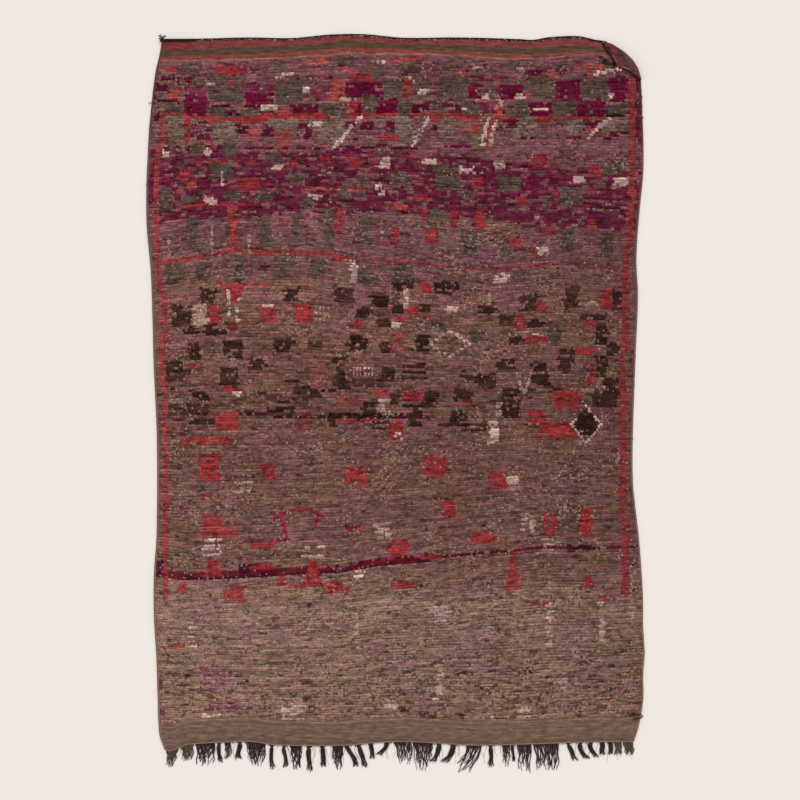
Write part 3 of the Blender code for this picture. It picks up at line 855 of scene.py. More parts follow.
# %% Add the woven cloth
rug_cloth = add_piece("rug_cloth", cloth_places, cloth_faces, woven)
carry(rug_cloth, "loom", weave_places)
carry(rug_cloth, "turned", turned)
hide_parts("rug")
print("Woven cloth:", [round(side, 3) for side in rug_cloth.dimensions], "m")

# %% [markdown]
# ## Where the knots stand
#
# A knot is tied round two warps, and its two ends stand up as a small tuft.
# Knots stand in rows, and a row follows the one before it, so rows bow and
# slope together. Six guide lines seen in the photograph say how. The rows
# between two guides are spread evenly, and the columns follow both sides.

# %% Guide lines of the rows
# Two of them are knotted as lines too: a red wave, and a long dark line
RED_WAVE = (
    (156, 263), (234, 251), (304, 252), (345, 258), (409, 262), (484, 270), (560, 264), (618, 269),
)
LONG_LINE = (
    (154, 572), (185, 577), (238, 575), (300, 571), (340, 569), (380, 562), (430, 558), (480, 553),
    (518, 550), (543, 547), (589, 548.6), (640, 545.7),
)
PILE_FOOT = (
    (140, 721), (200, 721.5), (290, 724.4), (440, 724.4), (470, 726), (515, 726), (580, 722),
    (650, 720),
)
# Each guide: number of rows below the pile's start, then (column, row) places
ROW_GUIDES = (
    (20, ((140, 117.5), (400, 118.0), (650, 119.0))),
    (72, ((140, 264), *RED_WAVE, (650, 268))),
    (127, ((140, 417), (400, 417.5), (650, 417))),
    (180, ((140, 571), *LONG_LINE[1:-1], (650, 545.7))),
    (240, PILE_FOOT),
)
KNOT_COLUMNS, KNOT_ROWS = 288, ROW_GUIDES[-1][0] + 1
FIRST_ROW_DROP = 0.8


def level_of_row(columns):
    """Every row's level in the photograph, at each of the columns."""
    numbers = [0] + [number for number, _ in ROW_GUIDES]
    levels = [row_at(pile_start(across(columns))) + FIRST_ROW_DROP]
    for _, points in ROW_GUIDES:
        first, second = np.array(points).T
        levels.append(np.interp(columns, first, second))
    levels = np.array(levels)
    rows = np.arange(KNOT_ROWS)
    part = np.clip(np.searchsorted(numbers, rows, side="right") - 1, 0, len(numbers) - 2)
    low, high = np.array(numbers)[part], np.array(numbers)[part + 1]
    share = ((rows - low) / (high - low))[:, None]
    own = np.arange(len(columns))
    return levels[part][:, own] * (1 - share) + levels[part + 1][:, own] * share


print("Rows of knots:", KNOT_ROWS)

# %% Place every knot
BINDING_WIDTH = 2.6 * MM
knot_share = (np.arange(KNOT_COLUMNS) + 0.5) / KNOT_COLUMNS
knot_x = np.empty((KNOT_ROWS, KNOT_COLUMNS))
knot_y = np.empty((KNOT_ROWS, KNOT_COLUMNS))
rough_columns = np.linspace(150, 640, KNOT_COLUMNS)  # from side to side of the rug
rough_levels = level_of_row(rough_columns)
for r in range(KNOT_ROWS):
    y = along(rough_levels[r])
    left = read_edge(LEFT_EDGE, y[:1])[0] + BINDING_WIDTH
    right = read_edge(RIGHT_EDGE, y[-1:])[0] - BINDING_WIDTH
    knot_x[r] = left + (right - left) * knot_share
    knot_y[r] = along(np.interp(column_at(knot_x[r]), rough_columns, rough_levels[r]))
knot_column, knot_level = column_at(knot_x), row_at(knot_y)
pitch_x = float(np.mean(np.diff(knot_x, axis=1)))
pitch_y = float(np.mean(-np.diff(knot_y, axis=0)))
print("Knots:", knot_x.size, "at", round(pitch_x / MM, 2), "by", round(pitch_y / MM, 2), "mm")

# %% [markdown]
# ## The dyes
#
# The weaver used a handful of dyes, and time has softened them. Each is
# written as the eye sees it, 0 to 255, and turned into an amount of light. The
# ground is a dye too, which changes slowly from the top end to the bottom.

# %% Name the dyes
DYES = {
    "lilac": linear(132, 74, 88),
    "mauve": linear(117, 73, 80),
    "rose": linear(145, 64, 78),
    "sage": linear(87, 71, 62),
    "moss": linear(117, 98, 84),
    "aubergine": linear(84, 18, 44),
    "berry": linear(116, 42, 66),
    "magenta": linear(98, 7, 46),
    "plum": linear(68, 22, 42),
    "wine": linear(96, 18, 32),
    "red": linear(147, 47, 51),
    "crimson": linear(138, 38, 58),
    "brick": linear(137, 57, 58),
    "coral": linear(158, 70, 68),
    "orange": linear(160, 68, 62),
    "cream": linear(194, 162, 152),
    "straw": linear(168, 138, 124),
    "umber": linear(46, 28, 19),
    "bark": linear(74, 50, 42),
    "rust": linear(132, 78, 72),
    "taupe": linear(130, 96, 86),
}

# Ground of the field by level, from the top end down
GROUND = (
    (62, linear(122, 78, 81)),
    (84, linear(116, 78, 78)),
    (117, linear(123, 85, 81)),
    (152, linear(124, 80, 84)),
    (216, linear(119, 79, 81)),
    (262, linear(117, 78, 77)),
    (300, linear(126, 87, 79)),
    (400, linear(112, 77, 69)),
    (437, linear(113, 78, 71)),
    (560, linear(117, 82, 75)),
    (604, linear(140, 108, 97)),
    (722, linear(136, 104, 93)),
)
levels, colours = zip(*GROUND)
parts = np.array(colours).T
dye = np.stack([np.interp(knot_level, levels, part) for part in parts], axis=-1)
print("Dyes:", ", ".join(DYES))

# %% [markdown]
# ## How a motif is knotted
#
# A motif is a run of knots of one dye in each row. Its sides wander by a knot
# or so from row to row, and now and then a knot is missed, because the weaver
# counts by eye. Blocks, wedges, strokes, lines and lozenges share one idea: a
# test that says which knots lie inside, and a dye for those.

# %% Tools that dye knots inside a shape
chance = np.random.default_rng(23)


def smoothed(values, length):
    """Each row of values averaged over a run of its neighbours."""
    window = np.hanning(length + 2)[1:-1]
    window /= window.sum()
    return np.apply_along_axis(lambda row: np.convolve(row, window, mode="same"), 1, values)


ROW_FADE = 0.06
RUN_FIELDS = [smoothed(chance.normal(0.0, 1.0, knot_x.shape), length) for length in (3, 4, 5, 7)]


def skipped_runs(share):
    """Short runs of knots, in all a share of the rug."""
    field = RUN_FIELDS[chance.integers(len(RUN_FIELDS))]
    field = np.roll(field, chance.integers(0, 200, 2), axis=(0, 1))
    return field > np.quantile(field, 1.0 - share)


# Dark and red wool wears less than the rest, so its knots are remembered
SOUND_DYES = (
    "aubergine", "magenta", "berry", "red", "brick", "coral", "orange", "crimson", "umber",
)
sound = np.zeros(knot_x.shape, dtype=bool)


def paint(inside, name, missed=0.05, fade=0.0):
    """Dyes the knots inside a shape, all but a few runs, and not each row alike."""
    inside = inside & ~skipped_runs(missed)
    sound[inside] = name in SOUND_DYES
    wool = DYES[name] * chance.uniform(0.9, 1.1)
    thin = fade + ROW_FADE * abs(chance.normal(0.0, 1.0, (KNOT_ROWS, 1)))
    thin = np.broadcast_to(np.clip(thin, 0.0, 0.8), inside.shape)[inside][:, None]
    dye[inside] = wool * (1.0 - thin) + dye[inside] * thin


BLOCK_WANDER, BAND_WANDER, BAND_STRAY, STRAY_SHARE = 1.3, 0.6, 1.2, 0.18


def wandering(amount, stray=3.5):
    """How far each row of a motif misses its true side."""
    shift = chance.uniform(-amount, amount, (KNOT_ROWS, 1))
    strays = chance.random((KNOT_ROWS, 1)) < STRAY_SHARE
    return shift + strays * chance.uniform(-stray, stray, (KNOT_ROWS, 1))


print("Fields of runs:", len(RUN_FIELDS))


# %% Blocks and strokes
def block(name, left, right, top, bottom, lean=0.0, widen=0.0, missed=0.05, fade=None):
    """A block between two columns and two levels, which may lean or widen."""
    fall = knot_level - top
    slim = min(1.0, (right - left) / 8.0)
    low = left + (lean - widen) * fall + wandering(BLOCK_WANDER) * slim
    high = right + (lean + widen) * fall + wandering(BLOCK_WANDER) * slim
    inside = (knot_column > low) & (knot_column < high)
    fade = chance.uniform(0.0, 0.2) if fade is None else fade
    paint(inside & (knot_level > top) & (knot_level < bottom), name, missed, fade)


def blocks(name, table, **ways):
    """Many blocks of one dye: (left, right, top, bottom) of each."""
    for left, right, top, bottom in table:
        block(name, left, right, top, bottom, **ways)


def stroke(name, start, end, width):
    """A slanting stroke from a higher place to a lower one."""
    lean = (end[0] - start[0]) / (end[1] - start[1])
    sides = (start[0] - width / 2, start[0] + width / 2)
    block(name, *sides, start[1], end[1], lean=lean, missed=0.0, fade=0.0)


print("Blocks wander by", BLOCK_WANDER, "columns")


# %% Lines, bands and lozenges
def line(name, points, thick, missed=0.12, fade=0.0):
    """A line that runs across the rug, thick levels deep."""
    first, second = np.array(points).T
    level = np.interp(knot_column, first, second)
    inside = (knot_column > first[0]) & (knot_column < first[-1])
    paint(inside & (abs(knot_level - level) < thick / 2), name, missed, fade)


def band(name, table, missed=0.03, fade=0.0):
    """A stripe down the rug: (level, left, right) at each of its bends."""
    levels, lefts, rights = np.array(table).T
    left = np.interp(knot_level, levels, lefts) + wandering(BAND_WANDER, BAND_STRAY)
    right = np.interp(knot_level, levels, rights) + wandering(BAND_WANDER, BAND_STRAY)
    inside = (knot_column > left) & (knot_column < right)
    paint(inside & (knot_level > levels[0]) & (knot_level < levels[-1]), name, missed, fade)


def lozenge(name, centre, half_width, half_height, thick=None, missed=0.1, fade=0.0):
    """A lozenge, whole, or an outline that is thick columns wide."""
    reach = abs(knot_column - centre[0]) / half_width
    reach = reach + abs(knot_level - centre[1]) / half_height
    inside = reach < 1.0
    if thick:
        inside &= reach > 1.0 - thick / half_width
    paint(inside, name, missed, fade)


print("Bands wander by", BAND_WANDER, "columns")

# %% Ladders, dots, loose runs and patches
LADDER_STEP, DOT_HEIGHT = 4.8, 3.0


def ladders(name, table, rung, **ways):
    """Ladders of short rungs, one every other row or so."""
    for left, right, top, bottom in table:
        for level in np.arange(top, bottom, LADDER_STEP):
            block(name, left, right, level, level + rung, **ways)


def dots(name, columns, levels, width):
    """A dot of a knot or two at every one of the columns and levels."""
    for column in columns:
        for level in levels:
            block(name, column, column + width, level, level + DOT_HEIGHT, missed=0.0)


def dashes(table, top, bottom, left=150, right=642, fade=0.45):
    """Short loose runs of knots: (dye, share of knots, shortest, longest)."""
    rows = np.nonzero((knot_level.mean(axis=1) > top) & (knot_level.mean(axis=1) < bottom))[0]
    for name, share, shortest, longest in table:
        count = int(share * rows.size * KNOT_COLUMNS / (0.5 * (shortest + longest)))
        for _ in range(count):
            row = chance.choice(rows)
            start = chance.integers(-longest, KNOT_COLUMNS)
            end = start + chance.integers(shortest, longest + 1)
            start = max(start, 0)
            if end > start and left < knot_column[row, start] < right:
                own = fade * chance.uniform(0.5, 1.5)
                dye[row, start:end] = DYES[name] * (1 - own) + dye[row, start:end] * own


def patches(across_knots, along_knots):
    """Noise with patches of a given size, in knots."""
    field = smoothed(chance.normal(0.0, 1.0, knot_x.shape), across_knots)
    field = smoothed(field.T, along_knots).T
    return field / field.std()


print("Rungs of a ladder lie", LADDER_STEP, "rows of the photograph apart")

# %% [markdown]
# ## Abrash: the ground's own streaks
#
# Hand-spun wool takes dye unevenly, so the ground changes from row to row and
# along each row. Loose runs of other dyes are strewn in each zone before the
# motifs are knotted over them. Their order and places are random but seeded.

# %% Strew streaks over each zone
# Top and foot of each zone, and its loose runs: (dye, share of knots, shortest, longest)
ZONES = (
    (62, 118, (
        ("mauve", 0.10, 3, 12), ("sage", 0.12, 3, 14), ("rose", 0.03, 3, 9),
        ("aubergine", 0.07, 2, 8),
    )),
    (118, 153, (
        ("moss", 0.13, 4, 16), ("mauve", 0.12, 4, 14), ("rose", 0.04, 3, 9),
        ("aubergine", 0.08, 2, 7),
    )),
    (212, 288, (
        ("mauve", 0.18, 4, 18), ("rose", 0.04, 3, 10), ("moss", 0.12, 4, 14), ("plum", 0.05, 2, 8),
    )),
    (285, 440, (
        ("mauve", 0.10, 4, 16), ("moss", 0.10, 4, 12), ("bark", 0.07, 2, 9), ("rust", 0.05, 3, 10),
    )),
    (440, 604, (
        ("moss", 0.12, 5, 18), ("mauve", 0.08, 4, 14), ("bark", 0.04, 2, 8),
        ("taupe", 0.12, 6, 24),
    )),
    (600, 730, (
        ("taupe", 0.14, 6, 24), ("mauve", 0.03, 3, 12), ("bark", 0.035, 1, 5),
        ("moss", 0.06, 5, 16),
    )),
)
for top, foot, runs_of_dye in ZONES:
    dashes(runs_of_dye, top, foot)
# Patches of the ground lean to olive, and others to mauve
OLIVE_SHIFT = np.array((-0.01, 0.018, -0.05))
dye *= 1.0 + patches(25, 9)[..., None] * OLIVE_SHIFT
print("Streaks strewn over", len(ZONES), "zones")

# %% [markdown]
# ## The top rows
#
# Under the striped end lies a loose strip of patches, and then two rows of
# blocks, magenta and grey-green in turn, with red and cream knots between. The
# second row stands half a block out of step with the first.

# %% Knot the strip under the striped end
blocks("sage", (
    (180, 201, 63, 74), (188, 206, 80, 86), (208, 246, 76, 84), (270, 285, 60, 73),
    (280, 300, 77, 84), (334, 354, 56, 68), (356, 384, 67, 76), (398, 422, 61, 75),
    (440, 466, 61, 70), (470, 484, 70, 84), (503, 521, 61, 70), (528, 541, 64, 73),
    (556, 568, 60, 69), (598, 616, 57, 70),
), missed=0.16, fade=0.1)
blocks("mauve", (
    (202, 214, 64, 74), (254, 269, 62, 82), (286, 300, 59, 72), (355, 369, 57, 68),
    (384, 397, 63, 74), (424, 442, 59, 83), (486, 502, 62, 74), (566, 582, 61, 76),
), missed=0.2, fade=0.0)
blocks("aubergine", (
    (160, 176, 76, 81), (176, 192, 77, 82), (190, 204, 88, 91), (412, 421, 58, 61),
    (478, 486, 62, 66),
), missed=0.45)
blocks("red", (
    (216, 248, 65, 75.5), (166, 175, 66, 72), (228, 232, 77, 86), (240, 244, 84, 88),
    (350, 372, 73, 81), (575, 580, 62, 67), (410, 421, 56, 60),
), missed=0.06, fade=0.0)
blocks("coral", (
    (340, 367, 67, 72), (388, 410, 57, 63), (455, 465, 68, 76), (482, 500, 76, 82),
    (541, 557, 69, 78), (584, 600, 64, 77), (270, 290, 78, 82), (312, 326, 74, 78),
), missed=0.25, fade=0.15)
block("orange", 310, 329, 56, 65, missed=0.06, fade=0.1)
blocks("cream", (
    (273, 281, 75, 78), (283, 293, 73.5, 77), (205, 214, 82, 86), (300, 310, 75.5, 79),
    (375, 384, 61, 64), (407, 415, 78, 82), (468, 476, 68, 72), (516, 524, 68, 72),
    (593, 600, 72, 76), (603, 615, 70, 74),
), missed=0.15, fade=0.15)
print("Strip of patches knotted")

# %% Knot the first row of blocks
dashes((("magenta", 0.10, 3, 10), ("aubergine", 0.05, 3, 9)), 70, 116, left=400, fade=0.3)
# Painted shadow: dark knots where the folded flap shades the pile to its left
block("umber", 600, 617, 56, 65, missed=0.5)
blocks("berry", (
    (185, 207, 85, 96), (244, 275, 84, 96), (310, 331, 86, 100),
), missed=0.06, fade=0.05)
blocks("magenta", (
    (246, 273, 94, 107), (345, 382, 83, 99), (468, 480, 85, 98), (498, 525, 84, 99),
    (555, 581, 80, 98), (609, 627, 78, 103), (156, 168, 86, 92),
), missed=0.06, fade=0.0)
blocks("sage", (
    (207, 243, 86, 103), (276, 302, 82, 104), (384, 403, 78, 99), (415, 430, 84, 98),
    (440, 468, 78, 98), (484, 498, 89, 94), (530, 555, 80, 98), (581, 609, 78, 99),
), missed=0.07, fade=0.0)
blocks("coral", ((169, 179, 90, 100), (524, 530, 95, 101)), missed=0.08)
block("orange", 331, 343.5, 80, 100, fade=0.05)
block("red", 404, 412, 81, 99, fade=0.0)
line("plum", ((153, 103), (160, 102), (167, 100), (180, 103)), 2.6)
blocks("aubergine", ((634, 645, 74, 142), (148, 157, 83, 100)), missed=0.12, fade=0.05)
# Painted shadow: more dark knots in the flap's shade
block("umber", 603, 613, 54.5, 61, missed=0.15, fade=0.1)
print("First row knotted")

# %% Knot the second row, and the red line under it
blocks("magenta", (
    (184, 207, 97, 115), (290, 319, 104, 115.5), (350, 363, 103, 113), (376, 398, 99, 113),
    (529, 553, 102, 117), (576, 605, 100, 116),
), missed=0.07, fade=0.0)
block("berry", 478, 495, 103, 115, missed=0.1)
blocks("aubergine", (
    (211, 240, 104, 108), (224, 238, 111, 117), (412, 428, 103, 112), (450, 461, 106, 115),
    (503, 516, 109, 115), (154, 162, 110, 122),
), missed=0.2, fade=0.0)
blocks("sage", (
    (160, 184, 104, 113), (207, 226, 108, 118), (248, 269, 107, 114), (319, 345, 103, 115),
    (363, 377, 96, 113), (398, 411, 101, 115), (428, 444, 101, 111), (461, 477, 102, 116),
    (505, 528, 102, 118), (553, 576, 101, 117), (605, 626, 104, 118),
), missed=0.08, fade=0.0)
blocks("coral", ((278, 294, 107, 118),), missed=0.08)
block("red", 344, 358, 100, 110)
block("orange", 494, 502, 103, 118)
blocks("cream", (
    (260, 277, 104, 111), (302, 310, 86, 94), (340, 355, 97.5, 101), (419, 427, 90, 96),
    (481, 488, 93, 98), (516, 523, 95, 100), (498, 503.5, 100, 104), (461, 467, 107, 112),
    (608, 614, 92, 98), (534, 548, 108.5, 111),
), missed=0.06, fade=0.05)
RED_LINES = (
    ((162, 115), (185, 115), (205, 118), (225, 120.5), (240, 120), (262, 116.5), (326, 116)),
    ((345, 116.5), (398, 115.5)),
    ((410, 114), (437, 115.5), (470, 117.5), (500, 119), (530, 120.5), (560, 119), (603, 118)),
)
for points in RED_LINES:
    line("red", points, 3.8, missed=0.1)
line("umber", ((603, 114), (628, 118)), 2.6)
print("Second row knotted")

# %% [markdown]
# ## The pale zone and its slanting strokes
#
# Below them lies a paler zone with grey-green blocks, red bars, and a few
# slanting strokes of undyed wool, which are the brightest marks on the rug.

# %% Knot the pale zone
blocks("moss", (
    (168, 184, 117, 140), (215, 237, 122, 145), (268, 299, 118, 129), (318, 346, 118, 146),
    (396, 412, 118, 150), (437, 453, 118, 137), (470, 482, 134, 148), (516, 538, 118, 137),
    (566, 583, 121, 131), (604, 628, 119, 133),
), missed=0.1, fade=0.05)
blocks("mauve", (
    (192, 214, 123, 140), (238, 262, 122, 148), (292, 312, 128, 150), (346, 392, 126, 150),
    (413, 430, 122, 150), (536, 566, 124, 142),
), missed=0.35, fade=0.1)
blocks("aubergine", (
    (191, 198, 124, 129), (197, 209, 121, 125), (203, 212, 130, 135), (190, 211, 136, 139),
    (237, 249, 124, 134), (262, 273, 125, 138), (297, 312, 124, 140), (345, 356, 121, 127),
    (361, 374, 121, 130), (386, 394, 123, 133), (376, 388, 144, 147), (430, 437, 124, 132),
    (500, 516, 121, 129), (520, 533, 136, 140), (564, 580, 136, 140), (582, 601, 119, 131),
    (605, 629, 133, 139), (350, 360, 138, 142),
), missed=0.28, fade=0.0)
blocks("red", (
    (184, 190.5, 117, 142), (240, 265, 120, 125), (379, 398, 135, 141), (428, 441, 116, 123),
    (205, 212, 141, 148),
), missed=0.08, fade=0.05)
blocks("coral", (
    (248, 259, 130, 140), (276, 292, 130, 150), (468, 481, 120, 134), (319, 325, 144, 149),
    (184, 194, 117, 122), (585, 598, 128, 133),
), missed=0.1, fade=0.1)
for left, top in ((308, 121.5), (313, 122.5), (318, 121.5)):
    block("cream", left, left + 4, top, top + 4.5, missed=0.0)
stroke("cream", (361, 117), (333, 148), 4.8)
stroke("cream", (428.5, 117), (413, 147), 4.2)
stroke("cream", (488.5, 118), (482, 146), 3.4)
stroke("coral", (492.5, 119), (485.5, 146), 3.0)
stroke("cream", (496.5, 119), (489, 147), 3.4)
stroke("cream", (609, 118), (600, 127), 5.6)
stroke("cream", (600, 126), (587, 140), 4.0)
line("magenta", ((156, 147), (300, 149), (420, 149), (472, 147)), 3.0, missed=0.45)
print("Pale zone knotted")

# %% [markdown]
# ## The magenta zone
#
# A broad zone of deep magenta and aubergine crosses the rug, with blocks,
# crosses and dots in grey-green, red and cream. Its lower side is ragged.

# %% Dye the magenta ground
ZONE_TOP = (
    (140, 150), (300, 152), (435, 153), (475, 158), (510, 163), (560, 169), (600, 171), (640, 174),
)
ZONE_FOOT = ((140, 221), (230, 218), (300, 211), (400, 212), (470, 216), (560, 226), (650, 229))
ZONE_WANDER = 2.5

zone_top = np.interp(knot_column, *np.array(ZONE_TOP).T)
zone_foot = np.interp(knot_column, *np.array(ZONE_FOOT).T) + wandering(ZONE_WANDER)
in_zone = (knot_level > zone_top) & (knot_level < zone_foot)
paint(in_zone, "magenta", missed=0.24, fade=0.12)
dashes((("aubergine", 0.18, 4, 20), ("berry", 0.10, 3, 12), ("mauve", 0.10, 3, 12)), 153, 214)
dashes((("rose", 0.05, 3, 10), ("sage", 0.06, 3, 9), ("plum", 0.05, 3, 9)), 153, 226)
print("Knots in the magenta zone:", int(in_zone.sum()))

# %% Knot its blocks and dots
blocks("sage", (
    (190, 204, 143, 157), (222, 237, 143, 157), (263, 283, 156, 164), (210, 232, 163, 179),
    (288, 308, 173, 184), (223, 243, 191, 200), (256, 273, 188, 201), (158, 172, 187, 211),
    (435, 460, 164, 190), (390, 411, 172, 187), (358, 365, 175, 197), (462, 476, 192, 202),
    (542, 548, 196, 213), (180, 200, 196, 206), (300, 316, 196, 208), (498, 520, 176, 192),
    (560, 582, 188, 206), (338, 352, 184, 200), (600, 622, 162, 176),
), missed=0.06, fade=0.0)
blocks("cream", (
    (380, 390, 157, 169), (425, 437, 160, 165), (458, 474, 167, 174), (493, 505, 160, 168),
    (574, 585, 177, 185), (614, 629, 179, 186), (205, 215, 197, 205), (312, 324, 195, 199),
    (270, 282, 165, 171), (162, 169, 145, 157), (204, 210, 147, 155), (220.5, 223.5, 170, 190),
    (376, 382, 182, 189), (379, 384, 189, 196), (537, 545, 217, 220),
), missed=0.1)
blocks("red", (
    (347, 360, 156, 167), (178, 190, 169, 183), (239, 259, 177, 191), (320, 330, 155, 163),
    (533, 546, 155, 169), (588, 600, 165, 177), (413, 428, 195, 200), (474, 482, 178, 190),
    (288, 298, 160, 168), (516, 528, 196, 206),
), missed=0.05)
blocks("orange", ((187, 197, 181, 188), (393, 408, 205, 210)))
line("red", ((176, 207.5), (212, 206), (250, 204)), 2.8)
line("red", ((195, 162), (263, 160)), 2.4, missed=0.2)
line("coral", ((262, 189), (330, 190), (370, 193)), 2.6, missed=0.4)
print("Magenta zone knotted")

# %% [markdown]
# ## Bars under the magenta
#
# Upright bars, grey-green with red beside them, stand in rows under the
# magenta, down to a wavy red line. Some have an orange or cream heart.

# %% Knot the bars and the wavy line
blocks("taupe", (
    (405, 426, 213, 230), (437, 465, 226, 253), (476, 500, 224, 250),
), missed=0.3, fade=0.35)
blocks("sage", (
    (187, 199, 219, 252), (260, 270, 216, 247), (325, 334, 209, 250), (165, 184, 260, 285),
    (234, 245, 255, 284), (273, 292, 256, 280), (357, 372, 262, 283), (394, 412, 262, 283),
    (464, 478, 232, 255), (428, 449, 210, 226), (510, 526, 270, 283), (292, 302, 214, 244),
    (360, 372, 216, 246), (500, 510, 236, 256), (560, 574, 230, 252), (600, 612, 236, 258),
    (310, 326, 258, 280), (196, 212, 262, 280),
), missed=0.08, fade=0.06)
blocks("red", (
    (333, 343, 210, 234), (391, 399, 228, 248), (421, 428, 209, 221), (425, 437, 228, 244),
    (450, 458, 211, 229), (474, 485, 210, 230), (509, 520, 235, 246), (541, 554, 226, 234),
    (588, 595, 221, 230), (530, 535, 249, 256),
), missed=0.1, fade=0.08)
block("brick", 229, 237.5, 207, 252, missed=0.03, fade=0.0)
blocks("orange", ((231, 236, 222, 238), (427, 434, 233, 240)))
for column, top, bottom in (
    (167.8, 234, 256), (247.8, 234, 252), (380.8, 221, 241), (210.8, 228, 250),
):
    dots("straw", (column,), range(top, bottom, 5), 2.4)
blocks("cream", (
    (350, 357, 261, 283), (537, 548, 248, 256), (493, 508, 272, 284),
), missed=0.15)
line("red", RED_WAVE[:4], 2.8, missed=0.04)
line("brick", [(c, r + 2.8) for c, r in RED_WAVE[:4]], 2.8, missed=0.5)
line("red", RED_WAVE[3:], 2.8, missed=0.16, fade=0.35)
print("Bars knotted")

# %% [markdown]
# ## The field of dark checks
#
# The middle of the rug is strewn with small dark-brown checks, almost black,
# with red and cream ones between them. They stand in loose slanting rows, one
# knot more or less each time, and a few run together into steps.

# %% Knot the dark checks
blocks("umber", (
    (201, 215, 288, 304), (172, 192, 305, 327), (283, 299, 288, 302), (204, 228, 325, 335),
    (223, 243, 340, 357), (189, 201, 344, 360), (274, 292, 337, 354), (308, 321, 339, 350),
    (248, 268, 359, 369), (165, 183, 362, 382), (220, 237, 367, 388), (293, 308, 386, 404),
    (168, 209, 404.5, 415), (192, 210, 391, 402), (309, 320, 390, 397), (191, 216, 420, 425),
    (606, 620, 344, 355), (185, 201, 327, 334), (377, 391, 320, 327), (386, 394, 370, 379),
    (458, 482, 376, 380), (268, 294, 406, 419), (394, 415, 282, 290), (434, 459, 282, 294),
    (335, 354, 289, 304), (372, 388, 295, 307), (356, 371, 308, 317), (393, 403, 305, 314),
    (419, 431, 305, 312), (477, 496, 307, 313), (499, 515, 312, 327), (350, 366, 335, 351),
    (418, 428, 335, 351), (510, 520, 336, 345), (331, 347, 356, 362), (335, 345, 365, 388),
    (340, 391, 379.5, 388.5), (476, 496, 374, 388), (381, 394, 367, 378), (453, 473, 388, 401),
    (497, 513, 359, 371), (390, 400, 392, 404), (425, 440, 391, 400), (420, 436, 400, 408),
    (502, 520, 388, 418), (362, 377, 402, 416), (408, 423, 406, 427), (450, 467, 411, 424),
    (371, 390, 421, 429), (519, 537, 293, 311), (565, 580, 287, 309), (611, 622, 288, 310),
    (526, 541, 320, 328), (509, 522, 336, 344), (581, 606, 314, 320), (596, 607, 324, 345),
    (595, 606, 355, 378), (559, 575, 348, 373), (530, 547, 364, 373), (530, 549, 375, 386),
    (527, 533, 389, 400), (604, 620, 379, 393), (592, 617, 392, 407), (432, 446, 321, 326),
    (380, 390, 343, 352), (286, 300, 380, 384), (348, 357, 392, 397), (404, 420, 404, 408),
    (328, 336, 416, 426),
), missed=0.14)
blocks("sage", (
    (547, 561, 322, 346), (470, 486, 330, 342), (432, 447, 322, 331),
), missed=0.12, fade=0.0)
line("umber", ((295, 387), (330, 390), (350, 389)), 2.8, missed=0.15)
line("umber", ((318, 417), (360, 416), (405, 417)), 4.6, missed=0.12)
dashes((("umber", 0.028, 3, 12), ("sage", 0.05, 4, 12)), 340, 436, fade=0.2)
for left, right, top, bottom in ((403, 426, 364, 382), (459, 487, 423, 433)):
    for step in range(0, bottom - top, 6):
        block("umber", left, right, top + step, top + step + 3.2)
print("Dark checks knotted")

# %% Knot the red and cream checks between them
blocks("red", (
    (206, 221, 305, 323), (260, 276, 308, 323), (296, 313, 304, 323), (228, 238, 325, 331),
    (187, 197, 363, 369), (222, 245, 387, 393), (216, 239, 414, 430), (421, 432, 283, 294),
    (403, 418, 306, 314), (352, 363, 320, 328), (395, 408, 317, 322), (423, 431, 316, 319),
    (375, 390, 391, 397), (402, 423, 390, 402), (514, 526, 314, 330), (536, 547, 303, 312),
    (600, 612, 290, 309), (524, 547, 336, 345), (582, 595, 321, 327), (576, 595, 347, 355),
    (588, 595, 365, 387), (553, 579, 390, 410), (528, 547, 410, 423), (390, 403, 421, 440),
), missed=0.05, fade=0.06)
block("brick", 390, 408, 334, 354, missed=0.2, fade=0.25)
block("brick", 335, 360, 397, 407, missed=0.2, fade=0.3)
block("crimson", 294, 315, 412, 430, missed=0.2, fade=0.45)
block("moss", 430, 440, 327, 335)
block("rust", 310, 326, 356, 388, missed=0.08, fade=0.15)
block("red", 540, 572, 423, 439, widen=0.3)
block("red", 222, 246, 285, 303, widen=-0.45)
block("red", 219, 268, 282.5, 286)
line("crimson", ((236, 375), (260, 374), (288, 376)), 4.2, missed=0.3, fade=0.5)
line("coral", ((454, 404), (473, 403)), 3.0)
line("red", ((335, 420), (399, 421)), 3.2)
blocks("cream", (
    (227, 230, 288, 323), (236, 239.5, 297, 323), (404, 408, 290, 308), (446, 459, 307, 312),
    (366, 370, 320, 325), (391, 400, 322, 327), (231, 243, 392, 399), (490, 499, 422, 443),
    (262, 275, 304, 308.5), (395, 403, 432, 440),
), missed=0.2)
blocks("straw", ((379, 390, 399, 414), (487.5, 490.5, 292, 307), (494, 501, 400, 415)), missed=0.4)
block("straw", 193, 206, 304, 324, missed=0.04, fade=0.0)
block("straw", 581, 597, 302, 307, missed=0.3, fade=0.3)
for points in (((512, 333), (547, 334)), ((581, 333), (596, 333)), ((581, 389), (605, 388))):
    line("straw", points, 2.6, missed=0.35)
dots("straw", range(315, 328, 4), range(307, 322, 5), 2.4)
print("Red and cream checks knotted")

# %% [markdown]
# ## Lozenges
#
# The field holds a pale lozenge outline and a dark spot in a cream outline.
# Both are drawn from the distance to their middle, measured across and along
# at once.

